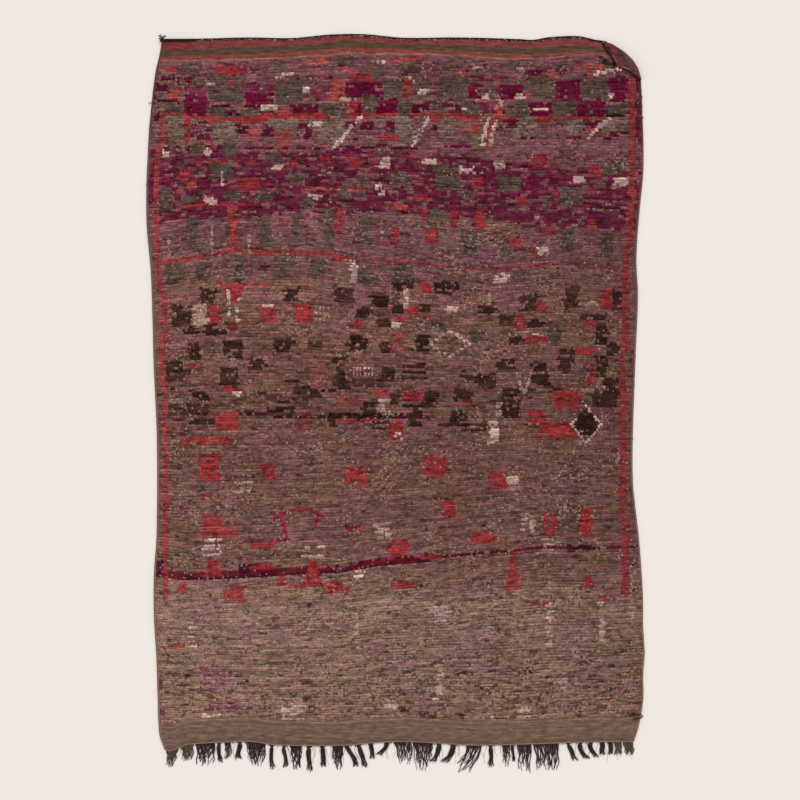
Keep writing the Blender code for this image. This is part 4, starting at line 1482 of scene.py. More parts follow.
# %% Knot the lozenges and the dotted block
lozenge("cream", (449.5, 344), 22.0, 14.0, thick=3.4, missed=0.03, fade=0.3)
lozenge("cream", (586, 424.5), 16.0, 19.5, missed=0.1)
lozenge("umber", (586, 425), 13.5, 16.5, missed=0.03)
block("umber", 579, 593, 414, 436)
dots("cream", range(353, 374, 3), range(368, 377, 5), 1.8)
stroke("straw", (516, 371), (524, 394), 2.4)
stroke("straw", (532, 371), (524, 394), 2.4)
for points in (((168, 389), (192, 390)), ((240, 413), (272, 414)), ((398, 417), (450, 416))):
    line("plum", points, 2.4, missed=0.2)
print("Lozenges knotted")

# %% [markdown]
# ## The quiet field
#
# Lower down the weaver used few motifs: red blocks, pale ladders and bells,
# crossed by one long dark line that slopes up to the right. Below it come
# small red bells, and then almost bare ground.

# %% Knot the quiet field
blocks("red", (
    (183, 232, 437, 445), (199, 219, 454, 483), (261, 275, 464, 479), (344, 368, 468, 485),
    (425, 448, 457, 477), (488, 507, 472, 489), (199, 211, 493, 500), (344, 360, 525, 532),
    (444, 455, 499, 518), (389, 409, 540, 559), (473, 496, 532, 544), (542, 556, 514, 536),
    (579, 600, 507, 512), (580, 592, 512, 538), (251, 275, 541, 548), (250, 273, 563, 577),
), missed=0.06, fade=0.04)
block("red", 204, 224, 516, 527)
block("red", 201, 237, 527, 538)
block("orange", 205, 215, 438, 444)
block("sage", 557, 579, 505, 531, missed=0.4)
ARCH = ((273, 520), (281, 513), (291, 510), (309, 510), (318, 514), (324, 518))
line("crimson", ARCH, 4.6, missed=0.04)
stroke("crimson", (282, 516), (286, 537), 4.4)
stroke("crimson", (319, 517), (314, 527), 3.4)
line("crimson", ((270, 541), (290, 539)), 3.0)
blocks("cream", (
    (303, 324, 545, 547.6), (303, 324, 550, 552.6), (303, 324, 555, 558), (507, 519, 476, 484),
    (218, 231, 504, 508), (354, 363, 568, 581),
), missed=0.2)
for top in (539, 543.8, 548.6, 553.4):
    block("cream", 203, 221, top, top + 3.2, missed=0.1, fade=0.15)
ladders("straw", (
    (375, 390, 522, 539), (521, 535, 514, 530), (541, 555, 538, 551), (233, 253, 481, 491),
), 2.8, missed=0.1, fade=0.0)
ladders("cream", (
    (384, 396, 698, 708), (435, 448, 605, 624), (546, 553, 601, 648), (599, 605.5, 601, 641),
    (436, 442.5, 664, 700), (560.5, 566, 672, 689), (188, 195, 621, 646), (281, 306, 704, 719),
    (517, 531, 705, 716), (482, 495, 717, 722),
), 3.0, missed=0.08, fade=0.28)
print("Quiet field knotted")

# %% Knot the long dark line and the bells
line("wine", [(c, r) for c, r in LONG_LINE if c < 345], 6.4, missed=0.04)
line("wine", [(c, r) for c, r in LONG_LINE if 335 < c < 435], 5.6, missed=0.06)
line("wine", [(c, r) for c, r in LONG_LINE if c > 425], 3.2, missed=0.08)
line("plum", [(c, r + 2.6) for c, r in LONG_LINE if 184 < c < 435], 3.4, missed=0.2)
line("rose", [(c, r - 2.4) for c, r in LONG_LINE if 290 < c < 435], 2.8, missed=0.6)
block("plum", 154, 165.5, 560, 576, missed=0.04, fade=0.0)
block("plum", 239, 250, 564, 577, missed=0.1, fade=0.0)
block("plum", 568, 595, 544, 551, missed=0.3)
line("red", ((420, 557), (440, 556)), 3.6)
for left, right, top, bottom, widen in (
    (208, 218, 560, 577, 0.25), (310, 316, 560, 586, 0.26), (280, 284, 575, 587, 0.4),
    (180, 187, 583, 592, 0.5), (229, 241, 583, 602, 0.28), (330, 342, 582, 594, 0.7),
    (398, 410, 580, 589, 0.7), (510, 516, 553, 590, 0.16), (585, 591, 576, 588, 0.35),
):
    block("red", left, right, top, bottom, widen=widen)
block("red", 599, 617, 597, 600)
line("red", ((287, 586), (340, 585)), 3.0)
line("red", ((525, 603), (549, 603)), 2.6)
line("red", ((168, 646), (185, 646)), 3.6)
blocks("straw", ((355, 358.6, 611, 649), (256, 259, 612, 630), (630, 634, 603, 620)), missed=0.3)
block("cream", 204, 220, 714, 717, missed=0.2, fade=0.1)
blocks("lilac", ((200, 226, 665, 688), (200, 240, 700, 708), (610, 622, 683, 697)), missed=0.5)
blocks("plum", ((157, 164, 680, 690), (158, 165, 710, 717)), missed=0.2, fade=0.3)
blocks("sage", ((415, 433, 678, 696), (325, 350, 676, 694)), missed=0.5)
block("moss", 174, 197, 652, 684, missed=0.4, fade=0.2)
blocks("umber", (
    (400, 410, 707, 713), (419, 436, 713, 720), (493, 498, 684, 687.5), (307, 311, 603, 606.5),
    (178, 188, 683, 687),
), missed=0.1, fade=0.15)
dashes((("bark", 0.07, 1, 5), ("umber", 0.012, 1, 4)), 671, 718, fade=0.3)
block("wine", 628, 636, 710, 719, missed=0.25, fade=0.4)
print("Long line and bells knotted")

# %% [markdown]
# ## The red borders
#
# One narrow red stripe runs down each side, a hand's breadth from the edge at
# most. Both wander with the loom's sides, and stop where the bare field starts.

# %% Knot the borders
LEFT_BORDER = (
    (114, 160, 166), (144, 159, 166), (150, 155, 160), (205, 153.6, 158.4), (262, 155, 160),
    (304, 161, 169), (337, 161, 169), (344, 159.6, 165.4), (382, 159.6, 165.4), (388, 162.6, 167.6),
    (430, 162.6, 168.6), (602, 163, 169),
)
RIGHT_BORDER = (
    (76, 628, 636), (205, 628, 635), (208, 626, 633), (240, 626, 633), (250, 622, 629),
    (290, 621.6, 629.4), (350, 621, 629), (353, 619, 625.6), (385, 619, 625.6), (395, 619, 627),
    (515, 618.4, 626), (520, 621, 629.4), (596, 621, 629.4),
)
band("brick", LEFT_BORDER, fade=0.12)
band("brick", RIGHT_BORDER)
print("Borders knotted")

# %% [markdown]
# ## Worn tips and uneven spinning
#
# No two knots are quite alike. Each gets its own tone, rows change a little
# together, and long soft streaks run along them. A share of knots is worn down
# to a pale speck where the warp shows, more in the lower field than the upper.

# %% Vary the tone of every knot
ROW_TONE, STREAK_TONE, KNOT_TONE, DYE_TONE = 0.06, 0.10, 0.08, 0.035
STREAK_LENGTH, WEAR_PATCH = 19, (17, 9)

streaks = smoothed(chance.normal(0.0, 1.0, dye.shape[:2]), STREAK_LENGTH)
streaks /= streaks.std()
tone = 1.0 + STREAK_TONE * streaks
tone += ROW_TONE * chance.normal(0.0, 1.0, (KNOT_ROWS, 1))
tone += KNOT_TONE * chance.normal(0.0, 1.0, dye.shape[:2])
dye *= np.clip(tone, 0.6, 1.5)[..., None]
# Painted light: the left side is painted lighter and the right side darker, as the light falls
# across the rug, most of all in the lower field
SIDE_LIGHT_COLUMNS = (150, 200, 310, 366, 422, 534, 590, 640)
SIDE_LIGHT_TONE = (1.12, 1.05, 1.04, 1.01, 0.96, 0.93, 0.84, 0.82)
SIDE_LIGHT_LEVELS, SIDE_LIGHT_SHARE = (212, 250), (0.5, 1.0)
painted_side_light = np.interp(knot_column, SIDE_LIGHT_COLUMNS, SIDE_LIGHT_TONE) - 1.0
dye *= 1.0 + (painted_side_light * np.interp(knot_level, SIDE_LIGHT_LEVELS, SIDE_LIGHT_SHARE))[..., None]
dye *= 1.0 + DYE_TONE * chance.normal(0.0, 1.0, dye.shape)
dye = np.clip(dye, 0.004, 0.9)
wear = patches(*WEAR_PATCH)
print("Wear from", round(float(wear.min()), 2), "to", round(float(wear.max()), 2))

# %% [markdown]
# ## One tuft for every knot
#
# A tuft leans towards the fringe, as the weaver pulls each row down before the
# next is tied. Each of its two ends is a small peak on four feet, wider than
# its share of the row, so that neighbours grow into each other. Peaks, feet and
# heights are shaken, so the pile looks combed rather than printed. Knots that
# the folded corner would cover are left out.

# %% Leave out the knots under the fold
TOP_MARGIN, BOTTOM_MARGIN, SIDE_MARGIN = 20 * MM, BOTTOM_FLAT - 2 * MM, 3 * MM
FAR_RIGHT, FAR_UP = 1.1, 1.6
fold_area = [*FOLD_LINE, *reversed(FLAP_SIDE_EDGE), *reversed(FLAP_END_EDGE)]
beyond = [*FOLD_LINE, (FAR_RIGHT, FOLD_LINE[-1][1])]
beyond += [(FAR_RIGHT, FAR_UP), (FOLD_LINE[0][0], FAR_UP)]


def inside_area(x, y, corners):
    """True where a place lies inside a closed run of corners."""
    inside = np.zeros(x.shape, dtype=bool)
    for (x0, y0), (x1, y1) in zip(corners, corners[1:] + corners[:1]):
        crosses = (y0 > y) != (y1 > y)
        if y0 != y1:
            inside ^= crosses & (x < x0 + (x1 - x0) * (y - y0) / (y1 - y0))
    return inside


hidden = inside_area(knot_x, knot_y, fold_area) | inside_area(knot_x, knot_y, beyond)
from_top, from_bottom, from_left, from_right = distances(knot_x, knot_y)
hidden |= (from_top < TOP_MARGIN) | (from_bottom < BOTTOM_MARGIN)
hidden |= (from_left < SIDE_MARGIN) | (from_right < SIDE_MARGIN)
print("Knots left out:", int(hidden.sum()))

# %% Give every knot its two ends
ENDS_PER_KNOT = 2
END_PITCH = pitch_y / ENDS_PER_KNOT
END_SHAPE = (KNOT_ROWS, ENDS_PER_KNOT, KNOT_COLUMNS)


def runs(length):
    """Noise for every end, alike over a run of ends in the same row."""
    field = smoothed(chance.normal(0.0, 1.0, (KNOT_ROWS * ENDS_PER_KNOT, KNOT_COLUMNS)), length)
    return (field / field.std()).reshape(END_SHAPE)


def each_end(values):
    """A value of every knot, given to each of its ends."""
    return np.repeat(values[:, None], ENDS_PER_KNOT, axis=1)


end_offsets = (0.5 * (ENDS_PER_KNOT - 1) - np.arange(ENDS_PER_KNOT)) * END_PITCH
shown = each_end(~hidden)
x = each_end(knot_x)[shown]
y = (each_end(knot_y) + end_offsets[None, :, None])[shown]
end_colour = each_end(dye)[shown]
worn = each_end(wear)[shown]
lower = np.broadcast_to(np.arange(ENDS_PER_KNOT)[None, :, None], END_SHAPE)[shown]
count = len(x)
print("Ends to stand up:", count)

# %% Wear the ends, and paint shade into the furrows between rows
# Runs of lost ends sink and are painted dark, partly for the bare dark ground and partly as painted
# shade in the gap, and worn ones show the pale warp as specks
LOST_FROM, BY_WEAR = 1.62, 0.35
PALE_LEVELS, PALE_FROM = (84, 216, 437, 604, 660), (2.35, 2.15, 1.90, 1.75, 1.65)
PALE_BY_WEAR, SOUND_BY = 0.55, 0.8
level = each_end(knot_level)[shown]
lost = runs(3)[shown] > LOST_FROM - BY_WEAR * worn
worn_out = np.interp(level, PALE_LEVELS, PALE_FROM) - PALE_BY_WEAR * worn
worn_out += SOUND_BY * each_end(sound)[shown]
pale = chance.normal(0.0, 1.0, count) > worn_out
# The upper end of each knot is painted a little lighter, as painted light on the crest of its row
END_TONE, RUN_TONE, UPPER_END_LIGHT = 0.17, 0.15, 1.06
LOST_GROUND_AND_SHADE = np.array((0.40, 0.33, 0.31))
OWN_SHARE, WARP_SHARE = 0.42, 0.58
# The lower end of each knot is painted darker as the shade of the furrow between two rows, deep
# along some runs and shallow along others
FURROW_SHADE_LEVELS, FURROW_SHADE = (62, 437, 604, 660), (0.70, 0.72, 0.62, 0.56)
FURROW_SHADE_RUNS, FURROW_SHADE_STRENGTH = (-0.5, 1.1), 1.35
furrow_shade = np.interp(level, FURROW_SHADE_LEVELS, FURROW_SHADE)
deep_shade = step_up(*FURROW_SHADE_RUNS, runs(7)[shown])
tone_and_row_shade = 1.0 + END_TONE * runs(2)[shown] + RUN_TONE * runs(8)[shown]
tone_and_row_shade *= np.where(lower == 1, 1.0 - (1.0 - furrow_shade) * deep_shade * FURROW_SHADE_STRENGTH, UPPER_END_LIGHT)
end_colour = end_colour * np.clip(tone_and_row_shade, 0.2, 1.6)[:, None]
# Lost ends: darker for the bare ground, and painted shade in the gap
end_colour = np.where(lost[:, None], end_colour * LOST_GROUND_AND_SHADE, end_colour)
warp = WARP_SHARE * DYES["straw"] * chance.uniform(0.7, 1.3, (count, 1))
faded = OWN_SHARE * end_colour + warp
end_colour = np.clip(np.where(pale[:, None], faded, end_colour), 0.003, 0.9)
print("Lost ends:", int(lost.sum()), "and pale ones:", int(pale.sum()))

# %% Shape the tufts
FOOT_HALF_WIDTH, FOOT_HALF_DEPTH = 0.66, 0.78
PILE_RELIEF, FOOT_FLOOR, LEAN = 3.4 * MM, 0.8 * MM, 0.9 * MM
PLACE_SHAKE, FOOT_SHAKE, TIP_SHAKE, HEIGHT_SHAKE = 0.7 * MM, 0.6 * MM, 0.9 * MM, 0.7 * MM
ROW_STEP, LOST_DEPTH = 1.1 * MM, 2.0 * MM
FEET = ((-1, -1), (1, -1), (1, 1), (-1, 1))
TUFT_FACES = np.array(((0, 1, 4), (1, 2, 4), (2, 3, 4), (3, 0, 4)))

crown_z = cloth_depth(x, y) - lower * ROW_STEP - lost * LOST_DEPTH
crown_z -= abs(chance.normal(0.0, HEIGHT_SHAKE, count))
x = x + chance.normal(0.0, PLACE_SHAKE, count)
y = y + chance.normal(0.0, PLACE_SHAKE, count)

tufts = np.empty((count, len(FEET) + 1, 3))
for foot, (side, end) in enumerate(FEET):
    shake = chance.normal(0.0, FOOT_SHAKE, (2, count))
    tufts[:, foot, 0] = x + side * FOOT_HALF_WIDTH * pitch_x + shake[0]
    tufts[:, foot, 1] = y + end * FOOT_HALF_DEPTH * END_PITCH + shake[1]
    tufts[:, foot, 2] = np.maximum(crown_z - PILE_RELIEF, FOOT_FLOOR)
tufts[:, -1, 0] = x + chance.normal(0.0, TIP_SHAKE, count)
tufts[:, -1, 1] = y - LEAN + chance.normal(0.0, TIP_SHAKE, count)
tufts[:, -1, 2] = crown_z
print("Tufts:", count, "with", count * len(TUFT_FACES), "triangles")

# %% [markdown]
# ## The finish of the pile
#
# Each tuft carries its own dye, with painted light and shade mixed in: tips,
# upper ends and the left side are painted lighter, and feet, furrows and lost
# ends darker. The finish reads it from the mesh. Fine noise breaks the dye into
# strands, and a bump along the tuft gives them relief. Old wool pile is quite
# matt, so the finish has hardly any gloss.

# %% Wool finish
STRAND_GRAIN, STRAND_BUMP = (900.0, 330.0, 330.0), 1.2 * MM
STRAND_TONE, DARKEST_STRAND = 0.7, 0.65

pile_wool = Finish("knotted_wool", roughness=1.0, sheen=0.0, gloss=0.06)
strands = pile_wool.grain(pile_wool.stretch(pile_wool.place(), STRAND_GRAIN), 1.0, detail=3.0)
strand_tone = strands * STRAND_TONE + DARKEST_STRAND
# The dye it reads holds painted light and shade as well as the knots' own dyes
pile_wool.colour(pile_wool.tone(pile_wool.read("dye"), strand_tone))
pile_wool.relief(strands, STRAND_BUMP)
print("Pile finish ready")

# %% Raise the pile in four pieces
# The pieces also get a flat chart, seen from above, for their baked colours
PILE_PIECES = ("pile_top", "pile_upper", "pile_lower", "pile_bottom")
# Tips are painted lighter and feet darker: partly faded tips over deeper-dyed roots, partly painted
# light on the tips and painted shade at the feet
TIP_LIGHT_AND_FADE, FOOT_SHADE_AND_DEEPER_DYE = 1.30, 0.80
tip_light_and_foot_shade = np.array([FOOT_SHADE_AND_DEEPER_DYE] * len(FEET) + [TIP_LIGHT_AND_FADE])[None, :, None]
parted = np.array_split(np.arange(count), len(PILE_PIECES))
for name, members in zip(PILE_PIECES, parted):
    corners = tufts[members].reshape(-1, 3)
    first_corners = np.arange(len(members))[:, None, None] * tufts.shape[1]
    faces = (first_corners + TUFT_FACES).reshape(-1, 3)
    piece = add_piece(name, corners, faces.tolist(), pile_wool)
    carry(piece, "dye", end_colour[members][:, None, :] * tip_light_and_foot_shade)
    chart = piece.data.uv_layers.new(name="OFBake")
    low, high = corners[:, :2].min(axis=0), corners[:, :2].max(axis=0)
    flat = (corners[:, :2] - low) / (high - low)
    chart.uv.foreach_set("vector", flat[faces.ravel()].astype(np.float32).ravel())
    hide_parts("rug")
    print(name, len(members), "tufts")

# %% [markdown]
# ## Yarn
#
# Everything that is left is yarn: the bound sides, the plaited end, the fringe
# and a few loose ends. A yarn is a tube along a route. One function makes many
# yarns into one mesh, and each point carries its place along and around the
# yarn, from which the finish draws the slanting twist of two plies.

# %% Follow a route
STEEP = 0.05


def frames(route):
    """The ways ahead, beside and above at each place of a route."""
    ahead = np.gradient(route, axis=0)
    ahead /= np.linalg.norm(ahead, axis=1)[:, None]
    beside = np.cross(ahead, (0.0, 0.0, 1.0))
    length = np.linalg.norm(beside, axis=1)[:, None]
    beside = np.where(length > STEEP, beside / np.maximum(length, STEEP), (1.0, 0.0, 0.0))
    return ahead, beside, np.cross(beside, ahead)


def lengths_along(route):
    """How far along a route each of its places lies."""
    steps = np.linalg.norm(np.diff(route, axis=0), axis=1)
    return np.concatenate(([0.0], np.cumsum(steps)))


def resampled(route, step):
    """The same route with places at an even step."""
    route = np.asarray(route, dtype=float)
    reach = lengths_along(route)
    marks = np.linspace(0.0, reach[-1], max(int(reach[-1] / step), 2) + 1)
    return np.stack([np.interp(marks, reach, route[:, part]) for part in range(3)], axis=1)


def ply(route, strands, radius, pitch):
    """Routes of strands wound round one route."""
    route = np.asarray(route, dtype=float)
    reach = lengths_along(route)
    _, beside, above = frames(route)
    wound = []
    for strand in range(strands):
        turn = (math.tau * (reach / pitch + strand / strands))[:, None]
        wound.append(route + radius * (beside * np.cos(turn) + above * np.sin(turn)))
    return wound


top_route = np.array([(x, read_edge(TOP_EDGE, x), 0.0) for x, _ in TOP_EDGE])
print("Along the top edge:", round(float(lengths_along(top_route)[-1]), 3), "m")


# %% Make many yarns as one piece
def yarn_tube(route, radius, sides, taper, uneven):
    """Rings of places along a route, thinner towards its end."""
    _, beside, above = frames(route)
    turns = np.arange(sides) * math.tau / sides
    radii = radius * (1.0 - taper * np.linspace(0.0, 1.0, len(route)) ** 2)
    radii = radii * (1.0 + uneven * chance.uniform(-1.0, 1.0, len(route)))
    ring = beside[:, None] * np.cos(turns)[None, :, None]
    ring = ring + above[:, None] * np.sin(turns)[None, :, None]
    rings = route[:, None] + ring * radii[:, None, None]
    rings[..., 2] = np.maximum(rings[..., 2], 0.0)
    return rings


def tube_faces(rings, sides, start=0):
    """Walls and two caps of a tube, whose places are listed from start on."""
    faces = []
    for i in range(rings - 1):
        for k in range(sides):
            a, b = start + i * sides + k, start + i * sides + (k + 1) % sides
            faces.append((a, b, b + sides, a + sides))
    last = start + (rings - 1) * sides
    faces.append(tuple(range(start + sides - 1, start - 1, -1)))
    faces.append(tuple(range(last, last + sides)))
    return faces


YARN_TONE_STEP = 0.618


def add_yarns(name, routes, radius, finish, sides=6, taper=0.3, uneven=0.08):
    """One piece of many yarns, which share a radius or have one each."""
    places, faces, twist = [], [], []
    for number, route in enumerate(routes):
        route = np.asarray(route, dtype=float)
        own = radius[number] if hasattr(radius, "__len__") else radius
        rings = yarn_tube(route, own, sides, taper, uneven)
        faces += tube_faces(len(rings), sides, len(places))
        tone = (number * YARN_TONE_STEP) % 1.0
        for reach in lengths_along(route):
            twist += [(reach, k / sides, tone) for k in range(sides)]
        places.extend(map(tuple, rings.reshape(-1, 3)))
    piece = add_piece(name, places, faces, finish)
    carry(piece, "twist", twist)
    return piece


print("The shortest yarn has", len(tube_faces(2, 6)), "faces")

# %% Finishes for dark, fringe and pale yarn
PLY_PITCH, PLY_BUMP = 6.0 * MM, 0.9 * MM


def yarn_finish(name, dark, light, sheen=0.0):
    """Two-ply yarn: a slanting twist as bump and as painted light and shade, and tone by yarn."""
    yarn = Finish(name, roughness=0.95, sheen=sheen, gloss=0.06)
    reach, turn, own = yarn.parts(yarn.read("twist"))
    ply_relief_and_shade = yarn.maths("SINE", (reach / PLY_PITCH + turn) * math.tau) * 0.5 + 0.5
    fuzz = yarn.grain(yarn.place(), 900.0, detail=3.0)
    colour = yarn.mix(own * 0.6 + fuzz * 0.5, dark, light)
    # Painted light and shade of the twist: each turn of the plies is lighter on its ridge and
    # darker in its groove
    yarn.colour(yarn.tone(colour, ply_relief_and_shade * 0.45 + 0.75))
    yarn.relief(ply_relief_and_shade * 0.7 + fuzz * 0.6, PLY_BUMP)
    return yarn


dark_yarn = yarn_finish("dark_yarn", linear(30, 17, 14), linear(70, 46, 38))
fringe_yarn = yarn_finish("fringe_yarn", linear(26, 15, 17), linear(82, 56, 62))
binding_yarn = yarn_finish("binding_yarn", linear(74, 26, 42), linear(158, 126, 112))
taupe_yarn = yarn_finish("taupe_yarn", linear(132, 106, 92), linear(186, 158, 136))
# Pale yarn for stitches, also laid on the flap's edge as a painted highlight
stitch_and_highlight_yarn = yarn_finish("stitch_and_highlight_yarn", linear(150, 96, 84), linear(214, 184, 160))
brown_yarn = yarn_finish("brown_yarn", linear(54, 40, 32), linear(112, 92, 77))
pale_yarn = yarn_finish("pale_yarn", linear(196, 172, 148), linear(232, 214, 192), sheen=0.35)
print("Yarn finishes ready")

# %% [markdown]
# ## The bound sides
#
# Both sides are overcast: wool is wound round the last warps, so the edge is a
# thin ribbed cord. Each side is one ridged tube. Its rings lean, so that the
# ridges slant like real wraps.

# %% Overcast both sides
WRAP_PITCH, RINGS_PER_WRAP, WRAP_SIDES = 4.8 * MM, 3, 8
RIDGES, RIDGE_SHAKE, WRAP_LEAN = (0.84, 1.0, 1.0), 0.10, 0.45
BIND_HALF_WIDTH, BIND_HALF_HEIGHT, BIND_INSET, BIND_LEVEL = 2.6 * MM, 3.2 * MM, 4.4 * MM, 4.0 * MM
BIND_PLACES = 160
# The binding is paler towards the fringe: (how far along, tone)
BINDING_TONE = ((-1.0, 1.0), (0.3, 0.75), (0.9, 0.5), (1.05, 0.0))


def add_binding(name, route, half_width, finish, wrap=WRAP_PITCH):
    """A tube round an edge, with leaning rings that stand up as wraps."""
    centre = resampled(route, wrap / RINGS_PER_WRAP)
    ahead, beside, above = frames(centre)
    ridge = np.array(RIDGES)[np.arange(len(centre)) % RINGS_PER_WRAP]
    ridge = ridge * (1.0 + RIDGE_SHAKE * chance.uniform(-1.0, 1.0, len(centre)))
    ridge = ridge[:, None, None]
    turns = (np.arange(WRAP_SIDES) * math.tau / WRAP_SIDES)[None, :, None]
    rings = centre[:, None] + beside[:, None] * (half_width * np.cos(turns)) * ridge
    rings = rings + above[:, None] * (BIND_HALF_HEIGHT * np.sin(turns)) * ridge
    rings = rings + ahead[:, None] * (WRAP_LEAN * wrap * np.cos(turns))
    piece = add_piece(name, rings.reshape(-1, 3), tube_faces(len(centre), WRAP_SIDES), finish)
    reach = np.repeat(np.arange(len(centre)) * wrap / RINGS_PER_WRAP, WRAP_SIDES)
    turn = np.tile(np.arange(WRAP_SIDES) / WRAP_SIDES, len(centre))
    own = np.repeat(np.interp(centre[:, 1], *np.array(BINDING_TONE).T), WRAP_SIDES)
    carry(piece, "twist", np.stack((reach, turn, own), axis=1))
    return piece


def side_route(table, inset, low_gap, high_gap):
    """A side's route, drawn in from its edge and short of both its ends."""
    rows = np.linspace(table[0][0] + low_gap, table[-1][0] - high_gap, BIND_PLACES)
    return [(x + inset, y, BIND_LEVEL) for x, y in zip(read_edge(table, rows), rows)]


left_route = side_route(LEFT_EDGE, BIND_INSET, 3 * MM, 3 * MM)
right_route = side_route(RIGHT_EDGE, -BIND_INSET, 3 * MM, 4 * MM)
bindings = [
    add_binding("left_binding", left_route, BIND_HALF_WIDTH, binding_yarn),
    add_binding("right_binding", right_route, BIND_HALF_WIDTH, binding_yarn),
]
print("Places along each side:", len(left_route))

# %% Bind the flap's free edges, and lay pale yarn on them as a painted highlight
FLAP_BIND_SHARES, FLAP_BIND_PLACES = (FLAP_TIP + 0.02, 0.96), 12
FLAP_BIND_INSET, FLAP_BIND_HALF_WIDTH, FLAP_WRAP = 1.5 * MM, 3.4 * MM, 4.0 * MM
# Each run of pale yarn, a painted highlight along the free edge: its shares of the fold, and how
# far in it lies
FLAP_EDGE_HIGHLIGHTS = ((0.27, 0.45, 3.0 * MM), (0.56, 0.78, 6.0 * MM))
FLAP_HIGHLIGHT_ROOM, FLAP_HIGHLIGHT_RADIUS = 0.6 * MM, 0.9 * MM

flap_side_route = []
for share in np.linspace(*FLAP_BIND_SHARES, FLAP_BIND_PLACES):
    edge, inwards = flap_edge(share)
    level = float(flap_rest(share)) + BIND_HALF_HEIGHT
    flap_side_route.append((*(edge - inwards * FLAP_BIND_INSET), level))
flap_binding = ("flap_binding", flap_side_route, FLAP_BIND_HALF_WIDTH, dark_yarn, FLAP_WRAP)
bindings.append(add_binding(*flap_binding))


def flap_edge_highlight(start, end, inset):
    """A pale yarn along the flap's free edge, between two shares of the fold, as a painted
    highlight.
    """
    route = []
    for share in np.linspace(start, end, 8):
        edge, inwards = flap_edge(share)
        level = float(flap_rest(share)) + flap_depth(share) + FLAP_HIGHLIGHT_ROOM
        route.append((*(edge - inwards * inset), level))
    return route


pale_edge_highlights = [flap_edge_highlight(*run) for run in FLAP_EDGE_HIGHLIGHTS]
bindings.append(
    add_yarns("flap_edge_highlight", pale_edge_highlights, FLAP_HIGHLIGHT_RADIUS, stitch_and_highlight_yarn, sides=5, uneven=0.3)
)
for piece in bindings:
    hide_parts("rug")
print("Bindings:", [piece.name for piece in bindings])

# %% [markdown]
# ## The plaited end
#
# The warps of the top end are finished with a flat plait of three dark cords,
# which runs on over the folded flap. In a three-strand plait each strand goes
# side to side once while it goes up and down twice, a third of a turn after
# the next. A thicker cord is sewn on at the left corner, and one dark yarn
# follows the edge where it turns into the fold.

# %% Lead the plait along the top and over the fold
CORD_RADIUS, GAP = 2.6 * MM, 0.3 * MM
PLAIT_SPAN = (TOP_EDGE[0][0] + 6 * MM, TOP_EDGE[-1][0] - 8 * MM, 90)
PLAIT_LAP, CLIMB_LAP, FLAP_LAP = 1.2 * MM, 4.0 * MM, 0.6 * MM
CLIMB_RUN = (0.08, 0.02)
FOLD_STEPS = ((2 * MM, -2.6 * MM), (11 * MM, -5 * MM))
FLAP_PLACES, LAST_SHARE, LOOK_AHEAD = 8, FLAP_TIP - 0.012, 0.009

beside_edge = CORD_RADIUS + GAP
on_flat = FLAT_DEPTH + LUMP + CORD_RADIUS
fold_start = Vector(FOLD_LINE[0])
climb_places = [fold_start.x - short for short in CLIMB_RUN]
plait_route = []
for x in np.linspace(*PLAIT_SPAN):
    climb = float(step_up(*climb_places, x))
    y = float(read_edge(TOP_EDGE, x)) + beside_edge - PLAIT_LAP - CLIMB_LAP * climb
    z = CORD_RADIUS + GAP
    plait_route.append((x, y, z + (on_flat - z) * climb))
for right, up in FOLD_STEPS:
    plait_route.append((fold_start.x + right, fold_start.y + up, on_flat + GAP))
for share in [FLAP_START] + even_run(FLAP_START, FLAP_TIP - 0.01, FLAP_PLACES):
    before, _ = flap_edge(min(share, LAST_SHARE))
    after, _ = flap_edge(min(share, LAST_SHARE) + LOOK_AHEAD)
    run = (after - before).normalized()
    spot = before + Vector((run.y, -run.x)) * (beside_edge - FLAP_LAP)
    plait_route.append((*spot, float(flap_rest(share)) - FLAP_CLEAR + CORD_RADIUS + 3 * GAP))
plait_length = lengths_along(np.array(plait_route))[-1]
print("The plait is", round(float(plait_length), 3), "m long")

# %% Plait its three strands
PLAIT_PITCH, PLAIT_STEPS, PLAIT_STRANDS = 13.0 * MM, 8, 3
PLAIT_HALF_WIDTH, PLAIT_RISE, STRAND_RADIUS = 1.4 * MM, 0.75 * MM, 1.15 * MM

smooth_route = rounded([Vector(place) for place in plait_route], SECTION_CUTS)
centre = resampled(smooth_route, PLAIT_PITCH / PLAIT_STEPS)
_, beside, _ = frames(centre)
strand_routes = []
for strand in range(PLAIT_STRANDS):
    turn = math.tau * (np.arange(len(centre)) / PLAIT_STEPS + strand / PLAIT_STRANDS)
    sideways = PLAIT_HALF_WIDTH * np.sin(turn)
    lift = PLAIT_RISE * np.sin(2 * turn)
    strand_routes.append(centre + beside * sideways[:, None] + np.array((0, 0, 1)) * lift[:, None])
end_plait = add_yarns("end_plait", strand_routes, STRAND_RADIUS, dark_yarn, taper=0.0, uneven=0.3)
print("Plait:", len(centre), "places along it")

# %% Sew the thick cord on the corner, and the yarn at the fold
CORNER_SPAN, CORNER_INSET, CORNER_ROOM = (across(160.5), across(193), 40), 3.4 * MM, 3.4 * MM
CORNER_PLY, CORNER_PITCH, CORNER_RADIUS = 2.5 * MM, 14 * MM, 2.3 * MM
# The yarn's places short of the fold, and how it climbs with its share of the fold
FOLD_YARN_STARTS, FOLD_YARN_OUT, FOLD_YARN_FOOT = (12 * MM, 6 * MM), 0.5 * MM, 6.0 * MM
FOLD_YARN_SHARE, FOLD_YARN_LEVEL, FOLD_YARN_CLIMB = 0.12, 6.5 * MM, 30 * MM
FOLD_YARN_RADIUS = 1.7 * MM

